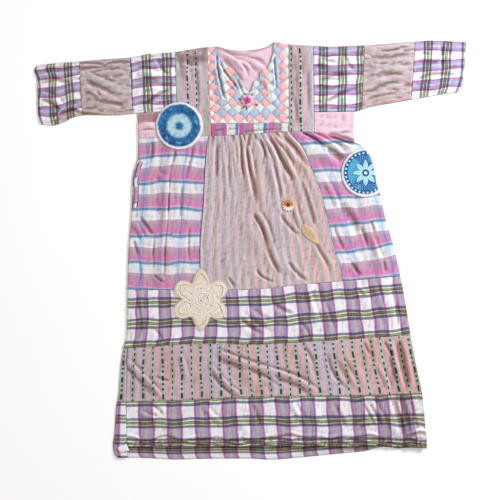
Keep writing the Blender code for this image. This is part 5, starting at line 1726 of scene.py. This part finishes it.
pale_thread, slate_thread_and_shadow = [
    thread_cloth(name, dark, light, 120.0, 1500.0, depth=0.1, sheen=0.2) for name, dark, light in (
        ("pale_sewing_thread", (214, 196, 208), (250, 240, 246)),
        ("slate_thread_and_painted_shadow", (70, 68, 92), (112, 112, 138)))]
SEAM_ROWS = (
    ("tier_check_cloth", 4.6, row_across(tier_check, 2.4)),
    ("tier_dash_cloth", 4.6, row_across(tier_dash, 2.4)),
    ("hem_tier_cloth", 4.6, row_across(hem_tier, 2.4)),
    ("hem_tier_cloth", 4.6, row_across(hem_tier, above_bottom=9.0)),
    ("waist_band_cloth", 4.2, row_across(band, 2.0)),
    ("waist_band_cloth", 4.2, row_across(band, above_bottom=2.0)),
    ("bib_cloth", 4.2, bib.place(np.linspace(0.085, 0.915, 160), np.full(160, 0.012))),
    ("bib_cloth", 4.2, row_down(bib, 1.8)),
    ("bib_cloth", 4.2, row_down(bib, from_right=1.8)),
    ("yoke_left_cloth", 4.6, row_down(yoke_left, 2.0)),
    ("yoke_right_cloth", 4.6, row_down(yoke_right, from_right=2.0)),
    ("gusset_right_cloth", 4.6, row_across(gusset_right, above_bottom=2.2)),
    ("side_panel_right_cloth", 4.6, row_down(side_right, 1.6)),
    ("sleeve_cuff_left_cloth", 4.6, sleeve_row("sleeve_cuff_left", 11.0)),
    ("sleeve_middle_left_cloth", 4.6, sleeve_row("sleeve_middle_left", 2.2)),
    ("sleeve_cuff_right_cloth", 4.6, sleeve_row("sleeve_cuff_right", from_right=11.0)),
    ("sleeve_middle_right_cloth", 4.6, sleeve_row("sleeve_middle_right", from_right=2.2)),
    ("pocket_facing_cloth", 5.2, facing_seam),
)
rows = [(on, path, step, 0) for on, step, path in SEAM_ROWS]
sew_stitches("seam_stitches", pale_thread, rows)
# Partly painted shadow: the slate stitches are dark and wide to stand also for the shadow of the centre
# panel's raised edge.
rows = [("side_panel_left_cloth", row_down(side_left, from_right=1.6), 2.7, 0)]
sew_stitches("panel_seam_stitches", slate_thread_and_shadow, rows, width=1.2)
rows = [(on, around(motif, rim_path(reach, 2.2, 200)), 5.2, 62) for on, motif, reach in (
    ("round_patch_left_cloth", PATCH_LEFT, round_reach(PATCH_LEFT)),
    ("round_patch_right_cloth", PATCH_RIGHT, reach_to_side(PATCH_RIGHT, 2.0)))]
rows.append(("leaf_cloth", leaf_edge, 4.4, 60))
sew_stitches("motif_stitches", pale_thread, rows, length=2.8, width=0.7)


# Corner of the hem. At the photograph's lower left the turned-up hem sticks out from under the
# front as a small folded corner of the checked cotton.

HEM_CORNER = dict(x=-349.0, y=-547.0, width=27.0, length=20.0, turn=24.0)
v, u = np.meshgrid(np.linspace(0, 1, 10), np.linspace(0, 1, 12), indexing="ij")
along, aside = HEM_CORNER["width"] * (u - 0.5), HEM_CORNER["length"] * (0.5 - v)
spot = around(HEM_CORNER, turned(along, aside, HEM_CORNER["turn"]))
rim = np.minimum(np.minimum(u, 1 - u) * HEM_CORNER["width"], np.minimum(v, 1 - v) * HEM_CORNER["length"])
level = np.maximum(height_on("back_hem_tier_cloth")(spot), height_on("hem_tier_cloth")(spot) - 1.0)
level = soften(level, 3) + 0.9 + 0.9 * smooth_step(rim / 4) + 0.6 * crumple(spot, 14, 8, 30, 2.2)
sheet = sew_sheet(
    "hem_corner_cloth", None, "check_cotton", spot, level, pair(0.30 + 0.34 * u, 0.33 + 0.30 * v))
sheet.data.materials.append(check)


# The surface it lies on, the lights and the camera straight above it.

bpy.ops.object.select_all(action="DESELECT")
bpy.ops.mesh.primitive_plane_add(size=8)
floor = bpy.context.object
floor.name = "pale_floor"
paint = Paint("pale_floor_finish")
pale = paint.mix(paint.noise(2.0), dye(250, 250, 250), dye(254, 254, 254))
paint.tree.links.new(pale.socket, paint.shader.inputs["Base Color"])
paint.shader.inputs["Roughness"].default_value = 0.9
floor.data.materials.append(paint.material)

for name, place, size, power, tint in (
        ("window_light", (2.3, 1.5, 1.35), 0.9, 105.0, (0.93, 0.96, 1.10)),
        ("room_light", (-1.6, -1.2, 2.6), 2.4, 18.0, (1.02, 1.0, 0.96))):
    lamp = bpy.data.lights.new(name, "AREA")
    lamp.energy = power
    lamp.color = tint
    lamp.size = size
    holder = bpy.data.objects.new(name, lamp)
    bpy.context.scene.collection.objects.link(holder)
    holder.location = place
    holder.rotation_euler = (-Vector(place)).to_track_quat("-Z", "Y").to_euler()

world = bpy.data.worlds.new("pale_room")
bpy.context.scene.world = world
world.use_nodes = True
world.node_tree.nodes["Background"].inputs[0].default_value = (1.05, 1.01, 0.93, 1.0)
world.node_tree.nodes["Background"].inputs[1].default_value = 0.56
bpy.context.scene.view_settings.view_transform = "Standard"

camera_data = bpy.data.cameras.new("camera")
camera_data.sensor_width = 36.0
camera_data.lens = 78.55    # with the sensor, this shows 1.375 m across at the camera's height
camera = bpy.data.objects.new("camera", camera_data)
bpy.context.scene.collection.objects.link(camera)
camera.location = (-0.0024, 0.0, 3.006)
bpy.context.scene.camera = camera
